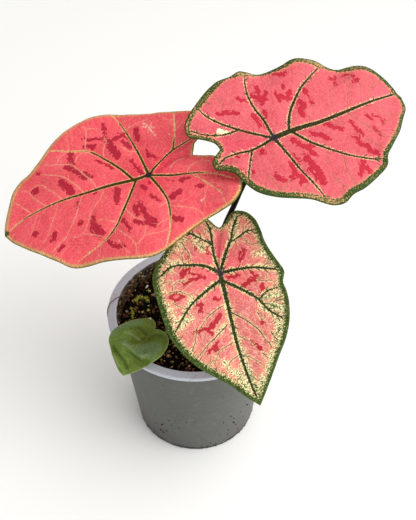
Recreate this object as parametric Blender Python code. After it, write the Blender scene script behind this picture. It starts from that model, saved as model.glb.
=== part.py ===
"""A potted caladium: four leaf blades on thin petioles, the tuber that they grow from, soil, and a round plastic pot.

Metres, +Z up. The origin is the middle of the pot's underside. The leaf tables are in millimetres, each in its
leaf's own frame: the petiole meets the blade at (0, 0), +y runs along the midrib to the tip, and +x is to the
right of it, seen from the upper side.
"""

import bpy
import numpy as np

MM = 0.001
GAP = 0.0003            # clearance between neighbouring solids

# Pot: a 12 cm round nursery pot, thin moulded plastic with a flat rolled rim
POT_HEIGHT = 0.110
RIM_RADIUS = 0.060
RIM_INNER_RADIUS = 0.0546
RIM_DEPTH = 0.0034
RIM_ROUND = 0.0009
NECK_RADIUS = 0.0546    # outside of the wall, just under the rim
NECK_FLARE = 0.0010
BASE_RADIUS = 0.0448
WALL = 0.0013
FLOOR_TOP = 0.0026
FOOT_WIDTH = 0.0052     # flat ring that the pot stands on
FOOT_ROUND = 0.0015
CENTRE_PAD_RADIUS = 0.020
BASE_RECESS = 0.0008
POT_SIDES = 56
DRAIN_HOLES = 5
DRAIN_HOLE_RADIUS = 0.0042
DRAIN_HOLE_SIDES = 14
DRAIN_CIRCLE_RADIUS = 0.0290

# Soil: fills the pot to 12 mm below the rim, a little higher round the tuber
SOIL_LEVEL = 0.0975
SOIL_MOUND = 0.0025
SOIL_LUMP = 0.0011
SOIL_EDGE_DIP = 0.0010  # the ground sinks a little where it meets the pot
SOIL_GAP = 0.00045      # wider than GAP, since both round surfaces are cut into flats
SOIL_RINGS = (1.0, 0.86, 0.70, 0.54, 0.38, 0.22, 0.09)   # from the wall to the tuber, as shares of the way
SOIL_SIDES = 40
POCKET_MOUTH = 0.0987

# Tuber: a flattened ball whose crown just shows
TUBER_CENTRE = (-0.002, 0.001)
TUBER_RADIUS = 0.0185
TUBER_WAIST = 0.0880
TUBER_TOP = 0.1035
TUBER_BOTTOM = 0.0690
TUBER_FULLNESS = 2.3    # 2 is an ellipse, more is squarer
TUBER_RINGS = (0.06, 0.20, 0.38, 0.55, 0.70, 0.82, 0.92, 0.975)    # shares of the way up
TUBER_SIDES = 28

# Leaves
BLADE_THICKNESS = 0.00085   # measured along the leaf's own z
HUB_DEPTH = 0.0013          # knob under the blade, where the petiole joins it
RIB_DEPTH = 0.0011          # how far a main rib stands below the blade, at the hub
RIB_HALF_WIDTH = 0.0013
RIB_GROOVE = 0.00035        # trough above each rib, on the upper side
EDGE_VEIN_DEPTH = 0.00035
EDGE_VEIN_AT = 0.93         # the vein that runs round the blade, as a share of the way to the edge
PUFF = 0.0008               # how far the panels between ribs swell upwards
RINGS = (0.05, 0.12, 0.21, 0.31, 0.42, 0.53, 0.64, 0.75, 0.85, EDGE_VEIN_AT, 1.0)
SMALL_RINGS = (0.10, 0.26, 0.44, 0.62, 0.79, 0.92, 1.0)
PANEL_STEP = 0.0060         # spacing of the mesh lines along the edge
NOTCH_STEP_SHARE = 0.55     # closer beside the notch, where the edge turns tightly

# Petioles
PETIOLE_BASE_RADIUS = 0.0027
PETIOLE_TOP_RADIUS = 0.0013
SMALL_PETIOLE_SHARE = 0.62
PETIOLE_SIDES = 10
PETIOLE_STEPS = 20
PETIOLE_NECK = 0.007        # the last stretch runs straight, square to the blade
SOCKET_DEPTH = 0.007
SOCKET_GAP = 0.0004

# Leaf tables. "seat" is where the petiole meets the blade, in world millimetres, "ahead" points along the midrib
# and "up" away from the upper side. "right" and "left" are the two halves of the edge, from the tip to the notch.
# A rib is a list of points from the hub to the edge, and its first number is how far from the hub it starts.
# A wave lifts the blade round a point: x, y, rise, spread.
LEAVES = {
    "left": {
        "seat": (-25.5, -0.5, 228), "ahead": (-0.93, -0.21, -0.30), "up": (-0.25, -0.34, 1),
        "fold": 0.06, "tip_droop": 0.0009, "lobe_droop": 0.0012, "side_droop": 0.0006,
        "waves": (
            (30, 76, -3, 14), (53, 44, 2.5, 14), (50, 5, -1.5, 12), (32, -34, 2, 12),
            (-39, 57, -3, 13), (-50, 18, 1.5, 13), (-36, -44, 6, 9), (-44, -18, -1.5, 9),
        ),
        "tip": (3.5, 95.5), "notch": (2.5, -28),
        "right": (
            (9.5, 94), (19, 90.5), (29.5, 85.5), (36, 78.5), (38.5, 70), (42.5, 61.5), (47.5, 53), (51.5, 43.5),
            (54.5, 33), (55.5, 23), (54, 14), (50, 5.5), (44, -6.5), (38.5, -18.5), (33.5, -30), (29.5, -39),
            (25, -45), (19.5, -46.5), (15, -43), (12, -36.5), (9.5, -32), (5.5, -29.5),
        ),
        "left": (
            (-4, 91), (-13, 83), (-22.5, 73.5), (-30.5, 65.5), (-37, 59), (-40.5, 51), (-43.5, 39.5), (-47.5, 29.5),
            (-51.5, 19.5), (-53.5, 11.5), (-52.5, 3.5), (-48.5, -6), (-44.5, -15.5), (-42.5, -24.5), (-42, -33),
            (-41, -41), (-36.5, -46.5), (-29, -49), (-20, -49), (-11.5, -46.5), (-4, -40.5), (-0.5, -33.5),
        ),
        "ribs": (
            (0, (0.5, 8.5), (3.5, 23.5), (5.5, 39), (8, 54.5), (9, 69.5), (8, 82.5), (3.5, 95.5)),
            (0, (11.5, 15), (22.5, 22.5), (32, 30.5), (37, 41), (43.5, 52)),
            (0, (14, 1.5), (29, 4), (40.5, 6.5), (48.5, 9)),
            (24, (14.5, -17.5), (20.5, -22.5), (31.5, -25.5)),
            (0, (6, -10), (10, -18), (12, -26.5), (14.5, -35), (17.5, -41.5)),
            (0, (-6, -12), (-9, -21.5), (-11.5, -28.5), (-16, -37), (-23, -44)),
            (32, (-13, -22), (-20.5, -30.5), (-30, -35.5)),
            (0, (-12, -4), (-22, -6), (-31, -5), (-40, -2.5), (-48.5, 1.5)),
            (0, (-10, 15), (-20, 22.5), (-25.5, 27), (-30.5, 34.5), (-33, 44), (-34.5, 51.5)),
        ),
    },
    "right": {
        "seat": (46.5, 5.5, 250), "ahead": (0.885, 0.465, 0.03), "up": (0.2, -0.45, 1),
        "fold": 0.05, "tip_droop": 0.0006, "lobe_droop": 0.0010, "side_droop": 0.0006,
        "waves": (
            (-25, 73, 3, 9), (-28, 58, -3.5, 7), (-43, 36, 3.5, 10), (-41, 11, -3, 7), (-46, 1, 2.5, 6),
            (50, 15, -3.5, 8), (35, 59, 3, 6), (42, 51, -2, 7), (4, 86, -4, 10), (-33, -38, 2, 10), (6, -42, -2, 7),
        ),
        "tip": (0, 93.5), "notch": (-4.5, -32),
        "right": (
            (7.5, 92), (14.5, 85), (22, 76.5), (29.5, 65.5), (34, 59), (39.5, 56), (43, 48.5), (47, 36.5),
            (48, 28), (50.5, 21.5), (49.5, 15.5), (46.5, 10), (42, 2.5), (38, -6.5), (33, -17), (26.5, -24.5),
            (19, -28.5), (12.5, -30.5), (8, -34.5), (5, -39), (0.5, -39), (-2.5, -35.5),
        ),
        "left": (
            (-6, 91), (-13.5, 87.5), (-19.5, 83), (-23.5, 77.5), (-26, 72), (-27.5, 66), (-29, 60.5), (-32.5, 55),
            (-37, 48.5), (-40, 40.5), (-41.5, 33), (-40.5, 26), (-40.5, 19), (-41.5, 10.5), (-43.5, 4), (-45, -1),
            (-44, -7), (-44, -15), (-40.5, -23.5), (-35, -32.5), (-29, -41), (-23.5, -45.5), (-17.5, -45.5),
            (-13.5, -39), (-9, -33.5),
        ),
        "ribs": (
            (0, (-0.5, 11), (-0.5, 21), (0, 31), (-1, 49.5), (-2, 69), (0, 93.5)),
            (0, (9.5, 19), (18, 28), (25.5, 37.5), (31.5, 48), (34.5, 54)),
            (0, (13, 3), (23.5, 5), (34.5, 8.5), (44, 11.5)),
            (17, (8, -17), (10.5, -21), (17, -25)),
            (0, (2.5, -14.5), (1.5, -22.5), (1, -31), (2.5, -35)),
            (22, (-10.5, -18), (-12, -27.5), (-15.5, -36.5), (-20, -42.5)),
            (0, (-6, -9.5), (-12.5, -18), (-18, -24.5), (-25, -31), (-31.5, -34)),
            (0, (-12, -0.5), (-22, -2.5), (-31, -2), (-41, 1)),
            (0, (-10.5, 16), (-17.5, 23), (-24, 31), (-28, 38.5), (-32, 46.5)),
        ),
    },
    "front": {
        "seat": (16.5, -26, 172), "ahead": (0.28, -0.70, -0.66), "up": (0.25, -0.85, 1),
        "fold": 0.10, "tip_droop": 0.0012, "lobe_droop": 0.0, "side_droop": 0.0004,
        "waves": (
            (-37, 17, -2.5, 6), (-40, 9, 1.5, 6), (-33, 40, 1.5, 12), (38, 34, -2, 14), (42, 4, 2, 14),
            (10, 72, -1.5, 8),
        ),
        "tip": (-3, 86), "notch": (-7.5, -26.5),
        "right": (
            (4, 78.5), (11.5, 69), (20, 60.5), (27, 53.5), (33, 45.5), (38, 36), (41, 27), (42, 18),
            (42.5, 8), (42.5, -1), (41, -9), (36.5, -15.5), (30, -21), (23.5, -26.5), (16, -32), (8, -36.5),
            (2, -37), (-2.5, -33), (-5, -29),
        ),
        "left": (
            (-8.5, 78.5), (-14.5, 70), (-21, 60.5), (-28, 50.5), (-33, 40.5), (-36, 30), (-37, 22), (-36.5, 16),
            (-38.5, 10), (-36.5, 3.5), (-34, -4), (-32, -11.5), (-31.5, -19), (-30, -26), (-26, -31.5), (-20, -34),
            (-15.5, -32.5), (-12, -29),
        ),
        "ribs": (
            (0, (0.5, 12.5), (1, 25), (1.5, 36.5), (1.5, 49.5), (0, 66), (-3, 86)),
            (0, (12, 8.5), (22.5, 13.5), (29, 19), (35, 25)),
            (0, (8, -6.5), (17, -9.5), (28, -11.5), (37, -7.5)),
            (20, (5, -18), (7, -24.5), (13, -29.5)),
            (0, (0.5, -11.5), (-0.5, -19.5), (-1.5, -27.5), (0, -33.5)),
            (0, (-7, -11), (-12, -17.5), (-15.5, -24.5), (-20.5, -31)),
            (18, (-12.5, -13), (-17.5, -18), (-22.5, -20), (-28, -19.5)),
            (0, (-12.5, 1), (-21, 2.5), (-29, 5.5), (-35, 8)),
            (32, (-20.5, 17), (-25.5, 18.5), (-33, 18.5)),
            (0, (-9, 12.5), (-17.5, 21), (-23, 30.5), (-29, 37)),
        ),
    },
    "small": {
        "seat": (-32, -39.5, 124), "ahead": (-0.52, -0.67, -0.53), "up": (-0.25, -0.6, 1),
        "fold": 0.14, "tip_droop": 0.003, "lobe_droop": 0.0, "side_droop": 0.002,
        "waves": ((21, 16, -3, 6), (-14, 3, 1, 6)),
        "tip": (0, 26.5), "notch": (-2.5, -9.5),
        "right": (
            (4.5, 25), (11, 20.5), (18, 15.5), (21, 12), (21.5, 7.5), (19.5, 1.5), (15, -5), (9.5, -10),
            (4, -14), (-0.5, -13),
        ),
        "left": (
            (-4, 22.5), (-9, 16), (-13, 9.5), (-16, 3.5), (-16.5, -2.5), (-15, -7.5), (-11.5, -10.5), (-6.5, -11),
        ),
        "ribs": (
            (0, (1, 9), (0, 26.5)),
            (0, (9, 3.5), (17, 10)),
            (0, (9, -3.5), (15.5, -2)),
            (0, (1.5, -8), (2.5, -12)),
            (0, (-4.5, -5.5), (-10, -8.5)),
            (0, (-8, -1), (-15, 0)),
            (0, (-4.5, 6), (-10, 11)),
        ),
    },
}

# Petiole routes, in world millimetres, from the tuber up; each ends at its leaf's seat, square to the blade
PETIOLE_ROUTES = {
    "left": ((-8, 4, 104), (-10, 3, 125), (-15, 2.5, 155), (-20.5, 2, 190), (-23.5, 1.5, 212)),
    "right": ((3, 6, 104), (8.5, 8, 130), (14, 9, 155), (19.5, 9.5, 177), (25.5, 10, 195.5), (31, 10, 212.5),
              (38, 9.5, 229)),
    "front": ((3, -5, 104), (6, -7, 120), (10.5, -11, 140), (14, -17, 157)),
    "small": ((-9.5, -8.5, 102), (-14.5, -16, 107), (-21, -25.5, 112.5), (-27, -33, 117)),
}


def unit(vector):
    return np.asarray(vector, float) / np.linalg.norm(vector)


def curve_through(points, count):
    """A Catmull-Rom curve through the points, read at `count` even steps of its parameter."""
    points = np.asarray(points, float)
    ends = np.vstack([2 * points[0] - points[1], points, 2 * points[-1] - points[-2]])
    at = np.linspace(0, len(points) - 1, count)
    piece = np.minimum(at.astype(int), len(points) - 2)
    f = (at - piece)[:, None]
    a, b, c, d = ends[piece], ends[piece + 1], ends[piece + 2], ends[piece + 3]
    return 0.5 * (2 * b + (c - a) * f + (2 * a - 5 * b + 4 * c - d) * f**2 + (3 * b - a - 3 * c + d) * f**3)


def plain_material(name, colour, roughness, specular=0.5):
    material = bpy.data.materials.new(name)
    material.use_nodes = True
    shader = material.node_tree.nodes["Principled BSDF"]
    shader.inputs["Base Color"].default_value = (*colour, 1)
    shader.inputs["Roughness"].default_value = roughness
    shader.inputs["Metallic"].default_value = 0
    shader.inputs["Specular IOR Level"].default_value = specular
    return material


def mesh_object(name, points, faces, material, sharp_angle=0.7):
    """A named object from points in metres and outward-facing faces."""
    mesh = bpy.data.meshes.new(name)
    mesh.from_pydata([tuple(p) for p in points], [], faces)
    mesh.validate()
    mesh.shade_smooth()
    mesh.set_sharp_from_angle(angle=sharp_angle)
    thing = bpy.data.objects.new(name, mesh)
    thing.data.materials.append(material)
    bpy.context.scene.collection.objects.link(thing)
    return thing


def ring_faces(first, second, sides):
    """Triangles between two rings of vertices, each split the same way."""
    faces = []
    for i in range(sides):
        j = (i + 1) % sides
        faces.append((first + i, second + i, second + j))
        faces.append((first + i, second + j, first + j))
    return faces


def fan_faces(pole, ring, sides, outward):
    """Triangles from a pole to a ring; `outward` keeps the ring's own turn."""
    faces = []
    for i in range(sides):
        j = (i + 1) % sides
        faces.append((pole, ring + i, ring + j) if outward else (pole, ring + j, ring + i))
    return faces


def turned(name, profile, sides, material):
    """A closed solid turned round +Z. The profile of (radius, height) runs from the axis at the bottom, out and up,
    and back to the axis at the top."""
    rings = profile[1:-1]
    angles = np.arange(sides) * 2 * np.pi / sides
    points = [(0.0, 0.0, profile[0][1])]
    for radius, height in rings:
        points.extend(np.stack([radius * np.cos(angles), radius * np.sin(angles), np.full(sides, height)], 1))
    points.append((0.0, 0.0, profile[-1][1]))
    faces = fan_faces(0, 1, sides, outward=False)
    for k in range(len(rings) - 1):
        faces.extend(ring_faces(1 + (k + 1) * sides, 1 + k * sides, sides))
    faces.extend(fan_faces(len(points) - 1, 1 + (len(rings) - 1) * sides, sides, outward=True))
    return mesh_object(name, points, faces, material)


def cut(thing, cutters):
    """Takes the cutters out of the thing."""
    for cutter in cutters:
        cutter.hide_render = True
        cutter.display_type = "WIRE"
        modifier = thing.modifiers.new("cut_" + cutter.name, "BOOLEAN")
        modifier.operation = "DIFFERENCE"
        modifier.object = cutter


def wall_outside(height):
    """Radius of the pot's outer wall at a height."""
    neck_height = POT_HEIGHT - RIM_DEPTH - NECK_FLARE
    return BASE_RADIUS + (NECK_RADIUS - BASE_RADIUS) * height / neck_height


def wall_inside(height):
    return wall_outside(height) - WALL


def make_pot(material):
    top, lip = POT_HEIGHT, POT_HEIGHT - RIM_DEPTH
    foot_inside = BASE_RADIUS - FOOT_WIDTH
    profile = [
        (0, 0),
        (CENTRE_PAD_RADIUS, 0),
        (CENTRE_PAD_RADIUS + BASE_RECESS, BASE_RECESS),
        (foot_inside - BASE_RECESS, BASE_RECESS),
        (foot_inside, 0),
        (BASE_RADIUS - FOOT_ROUND, 0),
        (BASE_RADIUS - 0.3 * FOOT_ROUND, 0.3 * FOOT_ROUND),
        (wall_outside(FOOT_ROUND), FOOT_ROUND),
        (wall_outside(lip - NECK_FLARE), lip - NECK_FLARE),
        (NECK_RADIUS + NECK_FLARE, lip),
        (RIM_RADIUS - RIM_ROUND, lip),
        (RIM_RADIUS, lip + RIM_ROUND),
        (RIM_RADIUS, top - RIM_ROUND),
        (RIM_RADIUS - RIM_ROUND, top),
        (RIM_INNER_RADIUS, top),
        (wall_inside(lip), lip),
        (wall_inside(FLOOR_TOP + FOOT_ROUND), FLOOR_TOP + FOOT_ROUND),
        (wall_inside(FLOOR_TOP) - FOOT_ROUND, FLOOR_TOP),
        (0, FLOOR_TOP),
    ]
    pot = turned("pot", profile, POT_SIDES, material)
    low, high = -FLOOR_TOP, 2 * FLOOR_TOP
    drill_profile = [(0, low), (DRAIN_HOLE_RADIUS, low), (DRAIN_HOLE_RADIUS, high), (0, high)]
    drills = []
    for k in range(DRAIN_HOLES):
        angle = 2 * np.pi * (k + 0.5) / DRAIN_HOLES
        drill = turned(f"drain_drill_{k + 1}", drill_profile, DRAIN_HOLE_SIDES, material)
        drill.location = (DRAIN_CIRCLE_RADIUS * np.cos(angle), DRAIN_CIRCLE_RADIUS * np.sin(angle), 0)
        drills.append(drill)
    cut(pot, drills)
    return pot


def tuber_profile():
    """The tuber's (radius, height) from bottom to top: a rounded lens, fuller than an ellipse."""
    profile = [(0, TUBER_BOTTOM)]
    for share in TUBER_RINGS:
        height = TUBER_BOTTOM + share * (TUBER_TOP - TUBER_BOTTOM)
        reach = TUBER_TOP - TUBER_WAIST if height > TUBER_WAIST else TUBER_WAIST - TUBER_BOTTOM
        off_waist = abs(height - TUBER_WAIST) / reach
        radius = TUBER_RADIUS * (1 - off_waist**TUBER_FULLNESS) ** (1 / TUBER_FULLNESS)
        profile.append((radius, height))
    profile.append((0, TUBER_TOP))
    return profile


def grown(profile, by):
    """A profile moved outwards, square to its own line."""
    line = np.array(profile)
    along = np.gradient(line, axis=0)
    along[0], along[-1] = (1, 0), (-1, 0)
    along /= np.linalg.norm(along, axis=1)[:, None]
    return line + by * np.stack([along[:, 1], -along[:, 0]], 1)


def lumps(x, y, size):
    """Rough ground: a few sine waves at unlike angles and spacings."""
    wave = np.sin(310 * x + 95 * y + 0.4) + np.sin(-140 * x + 270 * y + 1.9) + 0.8 * np.sin(420 * x - 365 * y + 2.7)
    return size * wave / 2.8


def soil_height(x, y):
    distance = np.hypot(x, y)
    return SOIL_LEVEL + SOIL_MOUND * np.exp(-((distance / 0.030) ** 2)) + lumps(x, y, SOIL_LUMP)


def make_soil(material):
    """A plug that fills the pot, with rough ground on top and a pocket that the tuber sits in."""
    angles = np.arange(SOIL_SIDES) * 2 * np.pi / SOIL_SIDES
    turn = np.stack([np.cos(angles), np.sin(angles)], 1)
    centre = np.array(TUBER_CENTRE)
    pocket = grown(tuber_profile(), SOIL_GAP)

    def level_ring(middle, radius, height):
        return np.column_stack([middle + radius * turn, np.full(SOIL_SIDES, height)])

    floor, bend = FLOOR_TOP + GAP, FLOOR_TOP + GAP + FOOT_ROUND
    rings = [
        level_ring(0, wall_inside(floor) - FOOT_ROUND - SOIL_GAP, floor),
        level_ring(0, wall_inside(bend) - SOIL_GAP, bend),
        level_ring(0, wall_inside(SOIL_LEVEL / 2) - SOIL_GAP, SOIL_LEVEL / 2),
    ]
    mouth = level_ring(centre, np.interp(POCKET_MOUTH, pocket[:, 1], pocket[:, 0]), POCKET_MOUTH)
    wall_line = (wall_inside(SOIL_LEVEL) - SOIL_GAP) * turn
    for share in SOIL_RINGS:
        flat = mouth[:, :2] + share * (wall_line - mouth[:, :2])
        dip = SOIL_EDGE_DIP * (share == 1)
        rings.append(np.column_stack([flat, soil_height(flat[:, 0], flat[:, 1]) - dip]))
    rings.append(mouth)
    for radius, height in pocket[-2:0:-1]:
        if height < POCKET_MOUTH - GAP:
            rings.append(level_ring(centre, radius, height))

    points = [(0.0, 0.0, floor)]
    for ring in rings:
        points.extend(ring)
    points.append((*centre, pocket[0, 1]))
    faces = fan_faces(0, 1, SOIL_SIDES, outward=False)
    for k in range(len(rings) - 1):
        faces.extend(ring_faces(1 + (k + 1) * SOIL_SIDES, 1 + k * SOIL_SIDES, SOIL_SIDES))
    faces.extend(fan_faces(len(points) - 1, 1 + (len(rings) - 1) * SOIL_SIDES, SOIL_SIDES, outward=True))
    return mesh_object("soil", points, faces, material, sharp_angle=1.2)


def make_tuber(material, sockets):
    tuber = turned("tuber", tuber_profile(), TUBER_SIDES, material)
    tuber.location = (*TUBER_CENTRE, 0)
    cut(tuber, sockets)
    return tuber


def leaf_frame(leaf):
    """The leaf's seat and its x, y and z axes in the world, as rows."""
    up = unit(leaf["up"])
    ahead = np.asarray(leaf["ahead"], float)
    ahead = unit(ahead - (ahead @ up) * up)
    return np.asarray(leaf["seat"], float), np.stack([np.cross(ahead, up), ahead, up])


def blade_height(leaf, x, y):
    """Height of the blade's upper side above its frame, in millimetres: a shallow fold along the midrib, a droop to
    the tip, lobes and sides, and round waves."""
    z = leaf["fold"] * (np.sqrt(x**2 + 9) - 3) - leaf["side_droop"] * x**2
    z -= leaf["tip_droop"] * np.maximum(y, 0) ** 2 + leaf["lobe_droop"] * np.maximum(-y, 0) ** 2
    for at_x, at_y, rise, spread in leaf["waves"]:
        z += rise * np.exp(-((x - at_x) ** 2 + (y - at_y) ** 2) / (2 * spread**2))
    return z


def leaf_world(leaf, x, y, z):
    """World metres of points given in the leaf's frame in millimetres."""
    seat, axes = leaf_frame(leaf)
    return (seat + np.stack([x, y, z], -1) @ axes) * MM


def turn_from_notch(leaf, x, y):
    """The direction of a point seen from the hub, counted clockwise from the notch, 0 to 2 pi."""
    notch = np.arctan2(*leaf["notch"])
    return np.mod(np.arctan2(x, y) - notch, 2 * np.pi)


def edge_reach(leaf):
    """The edge as two rising lists: direction from the hub, and distance."""
    left = curve_through([leaf["tip"], *leaf["left"], leaf["notch"]], 900)[::-1]
    right = curve_through([leaf["tip"], *leaf["right"], leaf["notch"]], 900)[1:]
    edge = np.vstack([left, right])
    turns = turn_from_notch(leaf, edge[:, 0], edge[:, 1])
    turns[0], turns[-1] = 0, 2 * np.pi
    return np.maximum.accumulate(turns), np.hypot(edge[:, 0], edge[:, 1])


def rib_turns(leaf, rib, reach, rings):
    """A rib's direction from the hub at each ring."""
    points = np.asarray(rib[1:], float)
    route = curve_through(points, 60)
    turns = turn_from_notch(leaf, route[:, 0], route[:, 1])
    distance = np.maximum.accumulate(np.hypot(route[:, 0], route[:, 1]))
    end_reach = np.interp(turns[-1], *reach)
    return np.interp(np.asarray(rings) * end_reach, distance, turns)


def blade_grid(leaf, rings, panel_step):
    """The blade's mesh lines: x, y, and the rib, puff and edge shares, each with a row for a ring and a column for a
    line that runs from the hub to the edge. Lines follow each rib and both its sides."""
    reach = edge_reach(leaf)
    rings = np.asarray(rings)
    ribs = sorted(leaf["ribs"], key=lambda rib: turn_from_notch(leaf, *rib[-1]))
    starts = [None] + [rib[0] for rib in ribs] + [None]
    turns = [np.zeros(len(rings))] + [rib_turns(leaf, rib, reach, rings) for rib in ribs]
    turns.append(np.full(len(rings), 2 * np.pi))
    columns = []
    for a, b, start_a, start_b in zip(turns, turns[1:], starts, starts[1:]):
        mean_reach = np.interp((a[-1] + b[-1]) / 2, *reach) * MM
        step = panel_step * (NOTCH_STEP_SHARE if start_a is None or start_b is None else 1)
        inner = max(1, round((b[-1] - a[-1]) * mean_reach / step) - 1)
        radius = np.maximum(rings * np.interp(b[-1], *reach), 0.1) * MM
        half = RIB_HALF_WIDTH * (1 - 0.55 * rings)
        side = np.minimum(0.28, half / (radius * (b - a)))
        lines = [(np.zeros(len(rings)), 1.0), (side, 0.0)]
        for k in range(1, inner):
            lines.append((side + (1 - 2 * side) * k / inner, 0.0))
        lines.append((1 - side, 0.0))
        for share, on_rib in lines:
            end_turn = a[-1] + share * (b[-1] - a[-1])
            distance = rings * np.interp(end_turn, *reach)
            direction = a + share * (b - a)
            rib_here = on_rib * (start_a is not None) * (distance >= (start_a or 0))
            columns.append((direction, distance, rib_here, np.sin(np.pi * share)))
    direction, distance, rib, puff = (np.array(part).T for part in zip(*columns))
    world_turn = direction + np.arctan2(*leaf["notch"])
    return distance * np.sin(world_turn), distance * np.cos(world_turn), rib, puff


def make_blade(name, leaf, rings, panel_step, material, scale=1.0):
    """A thin waved solid. Both faces have the same triangles; the lower one lies a blade's thickness below, and
    lower still along the ribs, the edge vein and the hub."""
    x, y, rib, puff = blade_grid(leaf, rings, panel_step)
    share = np.asarray(rings)[:, None]
    taper = 1 - 0.8 * share
    swell = puff * np.sin(np.pi * np.minimum(share, 0.97)) ** 0.7
    top = blade_height(leaf, x, y) + scale * (PUFF * swell - RIB_GROOVE * rib * taper) / MM
    depth = rib * RIB_DEPTH * taper + np.where(np.isclose(share, rings[-2]), EDGE_VEIN_DEPTH, 0)
    depth = np.maximum(depth, HUB_DEPTH * np.exp(-((share / 0.07) ** 2)))
    bottom = top - (BLADE_THICKNESS + scale * depth) / MM
    hub_top = blade_height(leaf, np.array([0.0]), np.array([0.0]))
    hub_bottom = hub_top - (BLADE_THICKNESS + scale * HUB_DEPTH) / MM

    zero = np.zeros(1)
    points = np.vstack([
        leaf_world(leaf, zero, zero, hub_top),
        leaf_world(leaf, x.ravel(), y.ravel(), top.ravel()),
        leaf_world(leaf, zero, zero, hub_bottom),
        leaf_world(leaf, x.ravel(), y.ravel(), bottom.ravel()),
    ])
    ring_count, sides = x.shape
    below = 1 + ring_count * sides
    # The lines are counted clockwise seen from above, so the outer ring comes first for a face that looks up
    upper = fan_faces(0, 1, sides, outward=False)
    for k in range(ring_count - 1):
        upper.extend(ring_faces(1 + (k + 1) * sides, 1 + k * sides, sides))
    lower = [tuple(index + below for index in face[::-1]) for face in upper]
    last = 1 + (ring_count - 1) * sides
    edge = ring_faces(last + below, last, sides)
    return mesh_object(name, points, upper + lower + edge, material, sharp_angle=1.2)


def petiole_route(leaf, route, scale=1.0):
    """The petiole's centre line in metres. It starts in the tuber's socket and ends just under the hub, square to
    the blade."""
    seat, axes = leaf_frame(leaf)
    up = axes[2]
    under = (BLADE_THICKNESS + scale * HUB_DEPTH + GAP) / MM
    end = seat - under * up
    first, second = np.asarray(route[0], float), np.asarray(route[1], float)
    root = first - (SOCKET_DEPTH / MM) * unit(second - first)
    return curve_through([root, *route, end - (PETIOLE_NECK / MM) * up, end], PETIOLE_STEPS) * MM


def tube(name, centres, radii, sides, material):
    """A closed round tube along a route, its rings carried along without twist."""
    centres = np.asarray(centres)
    ahead = np.gradient(centres, axis=0)
    ahead[-1] = centres[-1] - centres[-2]
    ahead /= np.linalg.norm(ahead, axis=1)[:, None]
    angles = np.arange(sides) * 2 * np.pi / sides
    rings = []
    side = np.array([1.0, 0.0, 0.0])
    for centre, axis, radius in zip(centres, ahead, radii):
        side = unit(side - (side @ axis) * axis)
        other = np.cross(axis, side)
        rings.append(centre + radius * (np.outer(np.cos(angles), side) + np.outer(np.sin(angles), other)))
    count = len(centres)
    points = np.vstack([*rings, centres[0], centres[-1]])
    faces = fan_faces(count * sides, 0, sides, outward=False)
    for k in range(count - 1):
        faces.extend(ring_faces((k + 1) * sides, k * sides, sides))
    faces.extend(fan_faces(count * sides + 1, (count - 1) * sides, sides, outward=True))
    return mesh_object(name, points, faces, material)


def petiole_radii(scale):
    share = np.linspace(0, 1, PETIOLE_STEPS)
    base, top = PETIOLE_BASE_RADIUS * scale, PETIOLE_TOP_RADIUS * scale**0.5
    return top + (base - top) * (1 - share) ** 1.5


def make_petiole(side, leaf, scale, material):
    """The petiole of one leaf, and the cutter for its socket in the tuber."""
    centres = petiole_route(leaf, PETIOLE_ROUTES[side], scale)
    radii = petiole_radii(scale)
    petiole = tube(f"petiole_{side}", centres, radii, PETIOLE_SIDES, material)
    inside = centres[: PETIOLE_STEPS // 3].copy()
    inside[0] -= SOCKET_GAP * unit(centres[1] - centres[0])
    socket = tube(f"socket_{side}", inside, radii[: len(inside)] + SOCKET_GAP, PETIOLE_SIDES, material)
    return petiole, socket


def clear_scene():
    for thing in list(bpy.data.objects):
        bpy.data.objects.remove(thing)


def main():
    clear_scene()
    pot_plastic = plain_material("pot_grey_polypropylene", (0.29, 0.29, 0.30), 0.45)
    potting_mix = plain_material("potting_mix", (0.012, 0.008, 0.006), 0.95, 0.2)
    tuber_skin = plain_material("tuber_skin", (0.075, 0.042, 0.022), 0.9, 0.2)
    petiole_skin = plain_material("petiole_dark", (0.022, 0.016, 0.008), 0.4)
    pink_blade = plain_material("leaf_pink", (0.78, 0.135, 0.155), 0.5)
    mottled_blade = plain_material("leaf_mottled", (0.74, 0.29, 0.25), 0.5)
    green_blade = plain_material("leaf_green", (0.085, 0.135, 0.025), 0.5)

    blade_materials = {"left": pink_blade, "right": pink_blade, "front": mottled_blade, "small": green_blade}
    sockets = []
    for side, leaf in LEAVES.items():
        small = side == "small"
        scale = SMALL_PETIOLE_SHARE if small else 1.0
        rings = SMALL_RINGS if small else RINGS
        make_blade(f"leaf_blade_{side}", leaf, rings, PANEL_STEP * scale, blade_materials[side], scale)
        sockets.append(make_petiole(side, leaf, scale, petiole_skin)[1])
    make_tuber(tuber_skin, sockets)
    make_soil(potting_mix)
    make_pot(pot_plastic)


main()
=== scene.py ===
# %% [markdown]
# # A potted caladium
#
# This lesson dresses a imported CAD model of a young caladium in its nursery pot. The CAD solids give every piece its
# size and place. Here each one is replaced by a finer surface of the same form, worked out with numpy, and gets a
# node material. The plant's character is in its leaves: pink blades with red blotches, dark veins with cream edges,
# and a narrow green margin. Most of the lesson is about how to paint those marks without any picture.

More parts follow.
